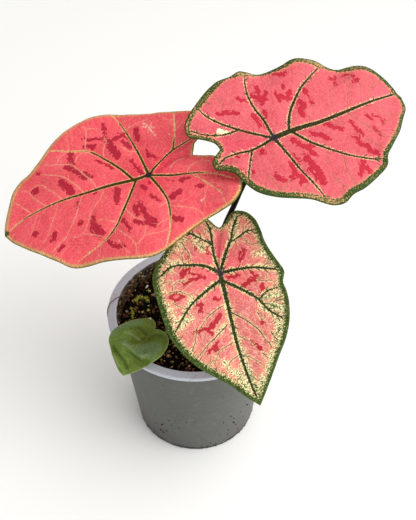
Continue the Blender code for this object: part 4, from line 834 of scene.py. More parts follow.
def pattern(tree, name):
    """One noise of the table, stretched so that most of its values lie between 0 and 1. "cells" is a Voronoi pattern
    instead, with one random value for each cell, which gives straight-sided steps."""
    if name == "cells":
        place = add(tree, "Attribute", out="Vector", attribute_name="leaf_place")
        cell = add(tree, "TexVoronoi", {"Vector": place, "Scale": 0.7}, out="Color")
        return add(tree, "SeparateColor", (cell,), out="Red")
    field, (along, away), detail, roughness = PATTERNS[name]
    place = add(tree, "Attribute", out="Vector", attribute_name=field)
    shift = PATTERN_SHIFT * list(PATTERNS).index(name)
    scaled = add(tree, "Mapping", {"Vector": place, "Scale": (along, away, 1), "Location": (shift, shift, shift)})
    noise = add(tree, "TexNoise", {"Vector": scaled, "Scale": 1, "Detail": detail, "Roughness": roughness}, out="Fac")
    return add(tree, "MapRange", (noise, 0.3, 0.7))


def leaf_skin(name, ground, coats, net_colour, net_tint=0.3, grain=0.24, roughness=0.5):
    """A Principled material from a ground of two colours and a list of coats. A coat is: field, level in mm, softness
    in mm, pattern, how far the pattern shifts the edge in mm, colour, strength."""
    material, tree = new_material(name)
    used = {"drift", "grain", *(coat[3] for coat in coats)}
    patterns = {name: pattern(tree, name) for name in sorted(used)}
    skin = add(tree, "Mix", {0: patterns["drift"], 6: ground[0], 7: ground[1]}, **COLOURS)
    # The finest veins: the borders of Voronoi cells that are long across the ribs
    way = add(tree, "Attribute", out="Vector", attribute_name="rib_way")
    stretched = add(tree, "Mapping", {"Vector": way, "Scale": NET_CELLS})
    net = add(tree, "TexVoronoi", {"Vector": stretched, "Scale": 1.0}, out="Distance", feature="DISTANCE_TO_EDGE")
    lines = add(tree, "MapRange", (net, *NET_LINE, 0, net_tint))
    skin = add(tree, "Mix", {0: lines, 6: skin, 7: net_colour}, **COLOURS)
    for field, level, soft, texture, shift, colour, strength in coats:
        distance = add(tree, "Attribute", out="Fac", attribute_name=field)
        rough = add(tree, "Math", (patterns[texture], shift, distance), operation="MULTIPLY_ADD")
        middle = level + shift / 2
        cover = add(tree, "MapRange", (rough, middle + soft, middle - soft, 0.0, strength))
        skin = add(tree, "Mix", {0: cover, 6: skin, 7: colour}, **COLOURS)
    shade = add(tree, "MapRange", (patterns["grain"], 0, 1, 1 - grain, 1 + grain))
    skin = add(tree, "Mix", {0: 1.0, 6: skin, 7: shade}, **COLOURS, blend_type="MULTIPLY")
    height = add(tree, "Math", (patterns["grain"], 0.5, net), operation="MULTIPLY_ADD")
    bump = add(tree, "Bump", {"Height": height, "Strength": 0.6, "Distance": 0.0005}, out="Normal")
    surface = add(tree, "BsdfPrincipled", {
        "Base Color": skin, "Roughness": roughness, "IOR": 1.40, "Specular IOR Level": 0.15, "Normal": bump,
    })
    close_material(tree, surface)
    return material


LEFT_COATS = (
    # Painted shade: deeper pink in the folds by the notch
    ("crease_shade", 0.8, 2.2, "ragged", 1.0, "#c52a42", 0.55),
    ("hub", 11.0, 8.0, "patches", 6.0, "#ea3c52", 0.7),
    ("margin", 1.0, 0.9, "ragged", 1.6, "#e87a66", 0.6),
    ("blotch_and_sheen", 0.0, 0.08, "cells", 1.6, "#b42338", 0.95),
    ("fleck", 0.0, 0.25, "ragged", 1.2, "#f6c8b4", 0.8),
    ("branch", 0.3, 0.3, "specks", 1.2, "#f59a84", 0.4),
    ("rib", 0.34, 0.14, "teeth", 1.2, "#f0c88c", 0.9),
    ("rib", -0.05, 0.12, "teeth", 0.4, "#8f7a30", 0.9),
    ("rib_dark", -0.02, 0.12, "ragged", 0.3, "#3f370a", 1.0),
    ("rib_dark", -0.1, 0.1, "teeth", 1.1, "#3f370a", 1.0),
    ("margin", 0.15, 0.12, "ragged", 1.3, "#c3975a", 0.8),
    ("margin", -0.2, 0.15, "ragged", 1.3, "#e9b581", 0.9),
    ("tan", -0.6, 0.2, "stipple", 4.6, "#a98d44", 0.6),
    ("tan", -0.2, 0.25, "specks", 5.0, "#e07c6c", 0.45),
    ("edge", 0.45, 0.12, "specks", 1.0, "#8c8034", 0.85),
    ("edge", 0.3, 0.1, "ragged", 0.4, "#5c5a1e", 0.9),
    ("patch_and_highlight", 0.2, 0.5, "ragged", 0.8, "#3f5a1c", 1.0),
    ("hub", 2.1, 0.6, "ragged", 1.6, "#2b2127", 1.0),
)
RIGHT_COATS = (
    # Painted shade: deeper pink in the folds by the notch
    ("crease_shade", 0.8, 3.0, "ragged", 1.5, "#cf3550", 0.5),
    ("margin", 1.2, 0.8, "ragged", 1.6, "#ea8672", 0.5),
    ("blotch_and_sheen", 0.25, 0.08, "cells", 1.8, "#b52236", 0.95),
    ("fleck", 0.3, 0.3, "ragged", 1.0, "#fdf2c2", 0.95),
    ("branch", 0.3, 0.25, "specks", 1.2, "#d0765f", 0.6),
    ("rib", 0.42, 0.14, "teeth", 1.9, "#eec694", 0.9),
    ("rib", 0.02, 0.10, "ragged", 0.4, "#2c2a08", 1.0),
    ("rib", -0.1, 0.08, "teeth", 1.8, "#2c2a08", 1.0),
    ("margin", 0.35, 0.15, "ragged", 1.6, "#e6b083", 0.75),
    ("margin", 0.1, 0.08, "ragged", 1.5, "#344a1a", 1.0),
    ("tan", -0.3, 0.15, "stipple", 4.4, "#cd936c", 0.9),
    ("tan", -0.9, 0.2, "specks", 4.2, "#7d8a48", 0.8),
    ("edge", 0.7, 0.15, "specks", 0.9, "#33481c", 1.0),
    ("patch_and_highlight", 0.2, 0.5, "ragged", 0.8, "#36501d", 0.9),
    ("hub", 2.6, 0.8, "ragged", 1.8, "#282329", 1.0),
)
FRONT_COATS = (
    ("hub", 16.0, 9.0, "patches", 9.0, "#e65a67", 0.7),
    ("margin", 4.6, 4.0, "mottle", 8.0, "#d78a72", 0.75),
    ("patch_and_highlight", 1.4, 2.0, "mottle", 4.5, "#d58a68", 0.6),
    # Painted shade: deeper pink in the fold by the notch
    ("crease_shade", 0.5, 2.0, "ragged", 1.0, "#dc4a60", 0.5),
    ("blotch_and_sheen", 0.0, 0.08, "cells", 1.4, "#a81c2b", 0.95),
    ("margin", 0.9, 0.2, "specks", 4.4, "#ecd8a8", 0.85),
    ("rib", 0.3, 0.6, "patches", 4.4, "#e6d9a0", 0.7),
    ("patch_and_highlight", -1.3, 0.8, "mottle", 2.0, "#cfd293", 0.8),
    ("patch_and_highlight", -0.2, 0.25, "specks", 5.0, "#ebe6b2", 0.9),
    ("fleck", 0.0, 0.3, "ragged", 0.8, "#fdeadc", 0.9),
    ("patch_and_highlight", -1.7, 0.12, "stipple", 4.6, "#3b511c", 0.95),
    ("margin", 0.2, 0.12, "stipple", 4.4, "#35491a", 0.95),
    ("branch", 0.45, 0.25, "specks", 2.0, "#e6cf97", 0.7),
    ("rib", 0.5, 0.15, "teeth", 2.4, "#ead99b", 0.9),
    ("rib", 0.0, 0.10, "ragged", 0.5, "#232d04", 1.0),
    ("rib", -0.05, 0.08, "teeth", 2.4, "#232d04", 1.0),
    ("margin", 0.5, 0.15, "ragged", 3.0, "#dcd28e", 0.85),
    ("margin", 0.0, 0.10, "ragged", 3.0, "#304213", 1.0),
    ("tan", -0.8, 0.15, "stipple", 4.8, "#8a9a60", 0.7),
    ("edge", 0.7, 0.4, "patches", 1.6, "#566526", 0.55),
    ("hub", 2.4, 0.8, "ragged", 1.8, "#2f272e", 1.0),
)
SMALL_COATS = (
    # Darker olive round the hub: the leaf's own tint, partly painted shade of the valley there
    ("hub", 6.5, 4.0, "patches", 5.0, "#515b0c", 0.85),
    # Grey-green waxy bloom, partly painted sheen on the folds and the upper lobe
    ("blotch_and_sheen", 0.2, 0.9, "ragged", 1.5, "#6a8259", 0.85),
    ("rib", 0.1, 0.35, "ragged", 0.3, "#6d8244", 0.4),
    # Painted shade: dark olive lines in the folds and under the ridges
    ("crease_shade", 0.3, 0.7, "ragged", 0.6, "#3c4d10", 0.55),
    # Painted highlight: pale grey-green lines on the fold ridges and the upper edge
    ("patch_and_highlight", 0.15, 0.8, "ragged", 0.9, "#90a178", 0.62),
    ("edge", 0.35, 0.2, "specks", 0.2, "#8a985c", 0.8),
    ("fleck", 0.3, 0.2, "ragged", 0.3, "#d8bd90", 1.0),
)
UNDER_COATS = (
    ("branch", 0.2, 0.3, "ragged", 0.4, "#9a9a76", 0.7),
    ("rib", 0.3, 0.3, "teeth", 0.8, "#8c9a6c", 0.8),
    ("margin", 0.2, 0.3, "edge_teeth", 1.4, "#8d9a70", 0.95),
    ("edge", 0.5, 0.2, "specks", 0.4, "#66703f", 1.0),
)
SKINS = {
    "left": (
        leaf_skin("caladium_blade_left_waxy_leaf", ("#fa616b", "#ec4f5b"), LEFT_COATS, "#ff9a90", net_tint=0.24),
        leaf_skin("caladium_underside_left_matt_leaf", ("#d08c8a", "#c4807f"), UNDER_COATS, "#b99a88", roughness=0.6),
    ),
    "right": (
        leaf_skin("caladium_blade_right_waxy_leaf", ("#d65f68", "#cc525c"), RIGHT_COATS, "#f08c88", net_tint=0.2),
        leaf_skin("caladium_underside_right_matt_leaf", ("#d49593", "#c98886"), UNDER_COATS, "#b99a88", roughness=0.6),
    ),
    "front": (
        leaf_skin("caladium_blade_front_waxy_leaf", ("#d26a6d", "#cb7167"), FRONT_COATS, "#f4c6ac", net_tint=0.4),
        leaf_skin("caladium_underside_front_matt_leaf", ("#cf9f93", "#c19480"), UNDER_COATS, "#a5a27c", roughness=0.6),
    ),
    "small": (
        leaf_skin("caladium_young_leaf_waxy", ("#60752c", "#6c833a"), SMALL_COATS, "#788d4e", net_tint=0.35, grain=0.3),
        leaf_skin("caladium_young_leaf_underside", ("#7f9068", "#74865c"), UNDER_COATS, "#8fa078", roughness=0.6),
    ),
}

# %% [markdown]
# ## Blade surfaces
#
# The upper side sinks in a fine groove over each rib and swells between ribs, with small random puckers between the
# side veins. On the underside the ribs stand out as round ridges that carry the blade. The two faces share one grid,
# meet in a rounded edge, and close to one thin body.

# %% Build the blades
# All in millimetres: depths and heights, and how far from its line each groove, ridge or swelling reaches
BLADE_THICKNESS, EDGE_THICKNESS, EDGE_ROUNDING = 0.85, 0.45, 0.8  # the second one is the share left at the edge
RIB_DEPTH, RIB_GROOVE, RIB_REACH = 1.1, 0.35, 0.8
VEIN_DEPTH, VEIN_DEPTH_REACH, VEIN_GROOVE, VEIN_GROOVE_REACH = 0.25, 0.5, 0.14, 0.7
HUB_DEPTH, HUB_REACH = 1.3, 2.6
RIDGE_WIDENS, RIDGE_TAPERS = 0.3, 0.8  # the second one is the share of the ridge that is lost from hub to edge
PUFF, PUFF_REACH, PUFF_FADE = 0.8, 4.0, 2.5
RIPPLE_FADE = 4.0
# Random relief: height, size, shift along x and seed
PUCKERS = ((0.22, 4.3, 0, 3), (0.12, 2.1, 31, 8))
RIPPLES = ((0.35, 6.0, 7, 5),)


def hump(distance, reach):
    """A round bell over a line: exp(-(d / reach)^2), at its full height on the line itself."""
    return np.exp(-((np.maximum(distance, 0) / reach) ** 2))


def relief_sum(kinds, x, y):
    """The sum of some reliefs, each times its height."""
    return sum(rise * relief(x + shift, y, size, seed) for rise, size, shift, seed in kinds)


def blade_relief(side, leaf, x, y, fields, scale):
    """Height of the upper side: the waved form, plus a swelling that levels off some millimetres from a rib, less a
    groove over each rib and side vein, plus two sizes of soft random puckers that fade at the edge, and the folds."""
    rib, branch, edge = (np.maximum(fields[name], 0) for name in ("rib", "branch", "edge"))
    inside = 1 - np.exp(-edge / PUFF_FADE)
    swell = (1 - hump(rib, PUFF_REACH)) * inside
    grooves = RIB_GROOVE * hump(rib, RIB_REACH) + VEIN_GROOVE * hump(branch, VEIN_GROOVE_REACH)
    ripple = relief_sum(RIPPLES, x, y) * np.exp(-edge / RIPPLE_FADE)
    form = blade_height(leaf, x, y)
    for rise, spread, *points in FOLDS[side]:
        form += rise * hump(clearance(np.stack([x, y], -1), points, 0, 0)[0], spread)
    return form + scale * (PUFF * swell - grooves + relief_sum(PUCKERS, x, y) * inside * swell + ripple)


def build_blade(side, leaf, scale):
    """One closed body from an upper and a lower sheet on the same grid."""
    step, count = (SMALL_STEP, SMALL_RINGS) if side == "small" else (FINE_STEP, FINE_RINGS)
    rings = np.linspace(0, 1, count + 1)[1:]
    x, y = blade_grid(leaf, rings, step)
    sides = x.shape[1]
    x, y = np.append(x.ravel(), 0.0), np.append(y.ravel(), 0.0)
    fields = blade_fields(side, leaf, x, y)
    top = blade_relief(side, leaf, x, y, fields, scale)
    share = np.append(np.repeat(rings, sides), 0.0)
    ridge = RIB_DEPTH * (1 - RIDGE_TAPERS * share) * hump(fields["rib"] + RIDGE_WIDENS, RIB_REACH)
    ridge += VEIN_DEPTH * hump(fields["branch"], VEIN_DEPTH_REACH) * (share < 0.99)
    ridge = np.maximum(ridge, HUB_DEPTH * hump(fields["hub"], HUB_REACH))
    thin = EDGE_THICKNESS + (1 - EDGE_THICKNESS) * np.clip(fields["edge"] / EDGE_ROUNDING, 0, 1) ** 0.5
    middle, half_thick = top - BLADE_THICKNESS / 2, BLADE_THICKNESS * thin / 2
    upper = to_world(leaf, x, y, middle + half_thick)
    lower = to_world(leaf, x, y, middle - half_thick - scale * ridge)
    half, last = len(x), (count - 1) * sides
    quads = np.vstack([ring_quads(count, sides), cap_quads(half - 1, 0, sides, upward=False)])
    under = quads[:, ::-1] + half
    k = np.arange(sides)
    after = (k + 1) % sides
    rim = np.stack([last + k, last + after, half + last + after, half + last + k], -1)
    if upward_share(upper, quads, leaf) < 0:
        raise SystemExit(f"{side}: the upper face looks down")
    doubled = {name: np.concatenate([values, values]) for name, values in fields.items()}
    return mesh_piece(
        f"blade_{side}", np.vstack([upper, lower]), np.vstack([quads, under, rim]), SKINS[side], SLOTS[side], doubled,
        replaces=(f"leaf_blade_{side}",), face_material=np.repeat([0, 1, 0], [len(quads), len(under), len(rim)]),
    )


def upward_share(points, quads, leaf):
    """The mean normal of some faces, along the blade's own up: positive when they look up."""
    a, b, c = (points[quads[:, k]] for k in (0, 1, 2))
    return np.cross(b - a, c - a).sum(0) @ blade_axes(leaf)[1][2]


for side, leaf in LEAVES.items():
    build_blade(side, leaf, SMALL_SCALE if side == "small" else 1.0)

# %% [markdown]
# ## Side veins
#
# A side vein is a cord of tissue, a fifth of a millimetre to a millimetre wide, that shows as a thin pale or dark
# line. Each is a low flat tube laid on the blade, with half of its section below the surface. The side veins follow
# lines that were measured. The smaller ones between them are drawn by a rule: they leave a side vein at a steep angle
# and bend the way it runs, or they start at the margin and bend towards the stalk. The dark ribs also carry short
# green spurs, where smaller veins run into them.

# %% Build the side veins
def carried(route, reference, section, sizes):
    """A closed section carried along a route, with a pole at each end: point = route + size * (section x * across +
    section y * above). Across is square to the route and to the reference, and above to both of the others."""
    forward = unit(np.gradient(route, axis=0))
    across = unit(np.cross(reference, forward))
    above = np.cross(forward, across)
    sizes = np.asarray(sizes)
    if sizes.ndim == 1:
        sizes = np.stack([sizes, sizes], -1)
    spread = section * sizes[:, None]
    rings = route[:, None] + spread[..., :1] * across[:, None] + spread[..., 1:] * above[:, None]
    return closed_body(rings, [route[0], route[-1]])


def joined(parts):
    """Several (points, faces) as one, with the faces' numbers moved along."""
    shift = np.cumsum([0] + [len(points) for points, _ in parts[:-1]])
    return np.vstack([p for p, _ in parts]), np.vstack([f + s for (_, f), s in zip(parts, shift)])


def vein_line_material(name, colours, roughness=0.5):
    """Vein tissue: two close tones that change along the line every few millimetres."""
    material, tree = new_material(name)
    place = add(tree, "TexCoord", out="Object")
    noise = add(tree, "TexNoise", {"Vector": place, "Scale": 600, "Detail": 2}, out="Fac")
    bend = add(tree, "MapRange", (noise, 0.4, 0.6))
    tone = add(tree, "Mix", {0: bend, 6: colours[0], 7: colours[1]}, **COLOURS)
    close_material(tree, add(tree, "BsdfPrincipled", {"Base Color": tone, "Roughness": roughness}))
    return material


# Material, then for the twigs: spacing and length in millimetres, half width, and spacing of those at the margin
VEIN_LINES = {
    "left": (vein_line_material("vein_tissue_cream", ("#f6b79c", "#f08c7c")), 4.2, 3.0, 0.09, 5.0),
    "right": (vein_line_material("vein_tissue_thin_green", ("#4a4e20", "#8e5f40")), 6.0, 2.5, 0.11, 4.0),
    "front": (vein_line_material("vein_tissue_dark_green", ("#18260f", "#34471c")), 2.8, 2.6, 0.15, 1.5),
}
# Spacing, length and half width of the rib spurs
SPURS = {"right": (6.8, 1.9, 0.46), "front": (2.3, 2.4, 0.46)}
FLAT_SECTION = np.array([(1, 0), (0.5, 1), (-0.5, 1), (-1, 0), (-0.5, -1), (0.5, -1)])
VEIN_RISE = 0.09  # half the height of a vein's tube, in millimetres
EDGE_CLEAR = 0.6  # how far a twig stays inside the edge, in millimetres
EDGE_POINTS = 500  # on each half of the outline


def read_along(at, passed, values):
    """Values that belong to the points of a line, read at some lengths from its start."""
    return np.stack([np.interp(at, passed, column) for column in values.T], -1)


def spaced(first, last, spacing, jitter, dice):
    """Lengths at an even spacing, each moved by a random share of it."""
    at = np.arange(first, last, spacing)
    return at + dice.uniform(-jitter, jitter, len(at)) * spacing


def offshoots(lines, spacing, dice):
    """Where small veins leave some lines, by turns to either side at 43 to 69 degrees: an array of places, of the
    directions in which they start, and of the way the line runs there."""
    seeds = []
    for line in lines:
        route = curve_through(line, 60)
        passed = passed_along(route)
        at = spaced(0.6 * spacing, passed[-1], spacing, 0.3, dice)
        along = unit(read_along(at, passed, unit(np.gradient(route, axis=0))))
        turn = (dice.uniform(0.75, 1.2, len(at)) * np.where(np.arange(len(at)) % 2, 1, -1))[:, None]
        way = np.cos(turn) * along + np.sin(turn) * along[:, ::-1] * (1, -1)
        seeds.append(np.stack([read_along(at, passed, route), way, along], 1))
    return np.concatenate(seeds)


def bent_routes(leaf, seeds, length, dice):
    """Routes of six points, start + reach * (share * way + share^2 / 4 * bend), without those that pass the edge."""
    start, way, bend = np.moveaxis(seeds, 1, 0)[:, :, None]
    reach = length * dice.uniform(0.4, 1.5, (len(seeds), 1, 1))
    share = np.linspace(0, 1, 6)[:, None]
    routes = start + reach * (share * way + 0.25 * share**2 * bend)
    edge = blade_edge(leaf, EDGE_POINTS)
    turns = turn_from_notch(leaf, *edge.T)
    order = turns.argsort()
    here = turn_from_notch(leaf, routes[..., 0], routes[..., 1])
    limit = np.interp(here, turns[order], np.hypot(*edge.T)[order], period=2 * np.pi)
    return routes[(np.hypot(routes[..., 0], routes[..., 1]) < limit - EDGE_CLEAR).all(axis=1)]


def twigs(side, leaf, spacing, length, margin_spacing, dice):
    """The smallest veins. One kind leaves the side veins and the outer ribs. The other starts at the margin and runs
    inward."""
    outer_ribs = [curve_through(rib, 30)[12:] for rib in leaf["ribs"]]
    seeds = offshoots([*(points for _, *points in BRANCHES[side]), *outer_ribs], spacing, dice)
    edge = blade_edge(leaf, EDGE_POINTS)
    passed = passed_along(edge)
    at = spaced(0, passed[-1], margin_spacing, 0.4, dice)
    here, ahead = (read_along(at + step, passed, edge) for step in (0, 0.5))
    inward = unit((ahead - here)[:, ::-1] * (1, -1))
    start = here + inward * (margin_at(leaf, *here.T)[0] - 0.4)[:, None]
    way = unit(inward + dice.normal(0, 0.4, inward.shape))
    return bent_routes(leaf, np.concatenate([seeds, np.stack([start, way, unit(-here)], 1)]), length, dice)


def laid_on(side, leaf, routes, halves):
    """Flat tubes along many routes of a blade at once. Their half widths taper, and swell and shrink a little."""
    count, steps = routes.shape[:2]
    x, y = routes.reshape(-1, 2).T
    x, y = x + 0.2 * relief(x, y, 2.5, 12), y + 0.2 * relief(x + 9, y, 2.5, 12)
    z = blade_relief(side, leaf, x, y, blade_fields(side, leaf, x, y), 1.0)
    centres = to_world(leaf, x, y, z).reshape(count, steps, 3)
    swell = 1 + 0.3 * relief(x * 2, y * 2, 1.3, 5).reshape(count, steps)
    sizes = np.stack([halves[:, None] * np.linspace(1, 0.5, steps) * swell, np.full(swell.shape, VEIN_RISE)], -1)
    up = blade_axes(leaf)[1][2]
    return [carried(centre, up, FLAT_SECTION, size) for centre, size in zip(centres, sizes * MM)]


for side, (material, spacing, length, half, margin_spacing) in VEIN_LINES.items():
    leaf = LEAVES[side]
    long_routes = np.stack([curve_through(points, 30) for _, *points in BRANCHES[side]])
    parts = laid_on(side, leaf, long_routes, np.array([width for width, *_ in BRANCHES[side]]))
    small = twigs(side, leaf, spacing, length, margin_spacing, np.random.default_rng(len(side)))
    parts += laid_on(side, leaf, small, np.full(len(small), half))
    mesh_piece(f"side_veins_{side}", *joined(parts), (material,), SLOTS[side])

spur_skin = vein_line_material("vein_tissue_rib_green", ("#262d08", "#343a12"))
for side, (spacing, length, half) in SPURS.items():
    leaf, dice = LEAVES[side], np.random.default_rng(31)
    spurs = bent_routes(leaf, offshoots(leaf["ribs"], spacing, dice), length, dice)
    parts = laid_on(side, leaf, spurs, np.full(len(spurs), half))
    mesh_piece(f"rib_spurs_{side}", *joined(parts), (spur_skin,), SLOTS[side])

# %% [markdown]
# ## Petioles
#
# The leaf stalk of this caladium is a smooth, nearly black tube that thins to the top and flares where it enters the
# blade. Its route is the CAD model's. The finer tube has more sides, low ridges that run along it, and a sheen.

# %% Petiole material and tubes
def stalk_material(name, dark, light, streak):
    """Dark purple-brown epidermis: narrow lighter streaks along the stalk, mixed by a noise that is stretched
    lengthwise, and a satin gloss."""
    material, tree = new_material(name)
    place = add(tree, "TexCoord", out="Object")
    stretched = add(tree, "Mapping", {"Vector": place, "Scale": (1400, 1400, 90)})
    streaks = add(tree, "TexNoise", {"Vector": stretched, "Scale": 1.0, "Detail": 3}, out="Fac")
    cover = add(tree, "MapRange", (streaks, 0.45, 0.7, 0, streak))
    tone = add(tree, "Mix", {0: cover, 6: dark, 7: light}, **COLOURS)
    bump = add(tree, "Bump", {"Height": streaks, "Strength": 0.25, "Distance": 0.0002}, out="Normal")
    surface = add(tree, "BsdfPrincipled", {
        "Base Color": tone, "Roughness": 0.38, "IOR": 1.45, "Specular IOR Level": 0.08, "Normal": bump,
    })
    close_material(tree, surface)
    return material


PETIOLE_ROUTES = {
    "left": ((-8, 4, 104), (-10, 3, 125), (-15, 2.5, 155), (-20.5, 2, 190), (-23.5, 1.5, 212)),
    "right": ((3, 6, 104), (8.5, 8, 130), (14, 9, 155), (19.5, 9.5, 177), (25.5, 10, 195.5), (31, 10, 212.5),
              (38, 9.5, 229)),
    "front": ((3, -5, 104), (6, -7, 120), (10.5, -11, 140), (14, -17, 157)),
    "small": ((-9.5, -8.5, 102), (-14.5, -16, 107), (-21, -25.5, 112.5), (-27, -33, 117)),
}
# All in millimetres: the end in the tuber and the straight end under the blade, half the thickness at either end, and
# what the flare adds
SOCKET_DEPTH, STRAIGHT_END = 7.0, 7.0
STALK_FOOT, STALK_TOP, FLARE = 2.7, 1.3, 0.8
STALK_SIDES, STALK_RIDGES, RIDGE_SHARE = 28, 7, 0.02
dark_stalk = stalk_material("petiole_epidermis_dark", "#0e0704", "#2a1d13", 0.5)
green_stalk = stalk_material("petiole_epidermis_young", "#55622c", "#7d7a4a", 0.6)
ridges = np.cos(STALK_RIDGES * np.arange(STALK_SIDES) * 2 * np.pi / STALK_SIDES)
section = circle_of(STALK_SIDES) * (1 + RIDGE_SHARE * ridges)[:, None]

for side, points in PETIOLE_ROUTES.items():
    seat, axes = blade_axes(LEAVES[side])
    scale, skin = (SMALL_SCALE, green_stalk) if side == "small" else (1.0, dark_stalk)
    first, second = np.array(points[:2], float)
    root = first - SOCKET_DEPTH * unit(second - first)
    end = seat - (BLADE_THICKNESS + scale) * axes[2]
    route = curve_through([root, *points, end - STRAIGHT_END * axes[2], end], 90)
    below = 1 - np.linspace(0, 1, len(route))
    top = STALK_TOP * scale**0.5
    radii = top + (STALK_FOOT * scale - top) * below**1.5 + FLARE * scale * np.exp(-45 * below)
    tube = carried(route * MM, (0, 1, 0.1), section, radii * MM)
    mesh_piece(f"stalk_{side}", *tube, (skin,), "petiole_skin", replaces=(f"petiole_{side}",))

# %% [markdown]
# ## The pot
#
# The pot is a thin polypropylene nursery pot, injection moulded: a flat rolled rim, a slightly tapered wall and a foot
# with drain holes. A turned body is the natural way to make it: a profile of radius and height is turned about the
# upright axis. Every corner of the profile is a small arc, because a moulded edge is never sharp. The drain holes are
# cut by a Boolean, whose result is applied.

# %% Turned bodies
def rounded(profile, radii, steps):
    """A profile with its corners replaced by arcs. Each arc is a quadratic curve from a point before the corner to one
    after it: (1-t)^2 a + 2t(1-t) corner + t^2 b."""
    profile = np.asarray(profile, float)
    points = [profile[:1]]
    t = np.linspace(0, 1, steps)[:, None]
    for before, corner, after, radius in zip(profile, profile[1:], profile[2:], radii):
        a, b = (corner + radius * unit(other - corner) for other in (before, after))
        points.append((1 - t) ** 2 * a + 2 * t * (1 - t) * corner + t**2 * b)
    return np.vstack([*points, profile[-1:]])


def turned(profile, sides):
    """Points and faces of a profile turned about +Z; its first and last points lie on the axis."""
    rings = profile[1:-1]
    flat = rings[:, None, :1] * circle_of(sides)
    tall = np.broadcast_to(rings[:, None, 1:], (len(rings), sides, 1))
    return closed_body(np.concatenate([flat, tall], -1), [(0, 0, profile[0, 1]), (0, 0, profile[-1, 1])])


# %% Pot sizes
POT_HEIGHT, RIM_DEPTH = 110.0, 3.4  # all in millimetres
RIM_RADIUS, RIM_INNER = 60.0, 54.6
NECK, BASE, WALL = 54.6, 44.8, 1.3
FLOOR_TOP, FOOT = 2.6, 5.2
HOLE_RADIUS, HOLE_CIRCLE, HOLES = 4.2, 29.0, 5
POT_SIDES, HOLE_SIDES, ARC_STEPS = 144, 40, 6
LIP = POT_HEIGHT - RIM_DEPTH
WALL_SLOPE = round((NECK - BASE) / (LIP - 1), 4)  # how much the wall's radius grows for each unit of height


def wall_radius(height):
    """Outside radius of the wall in millimetres: a straight taper from the base to the neck."""
    return BASE + (NECK - BASE) * height / (LIP - 1)


print("wall slope", WALL_SLOPE, "radius half-way up", round(wall_radius(POT_HEIGHT / 2), 2), "mm")


# %% Pot material
# In metres: where each finish begins and where it is full
# The rim's painted light: the height where its paler colour begins and where it is full
RIM_PAINTED_LIGHT = 0.1058, 0.1070
SPECKS_THIN_OUT = 0.0, 0.06
STAIN_AWAY, STAIN_HEIGHT = (0.016, 0.034), (0.034, 0.008)
WET_FOOT = 0.0112, 0.0098
CRUST_TOP, CRUST_BOTTOM = (0.1148, 0.1130), (0.0950, 0.0960)
INNER_WALL = 0.0441, 0.0437  # distance from the axis less the wall's slope times the height


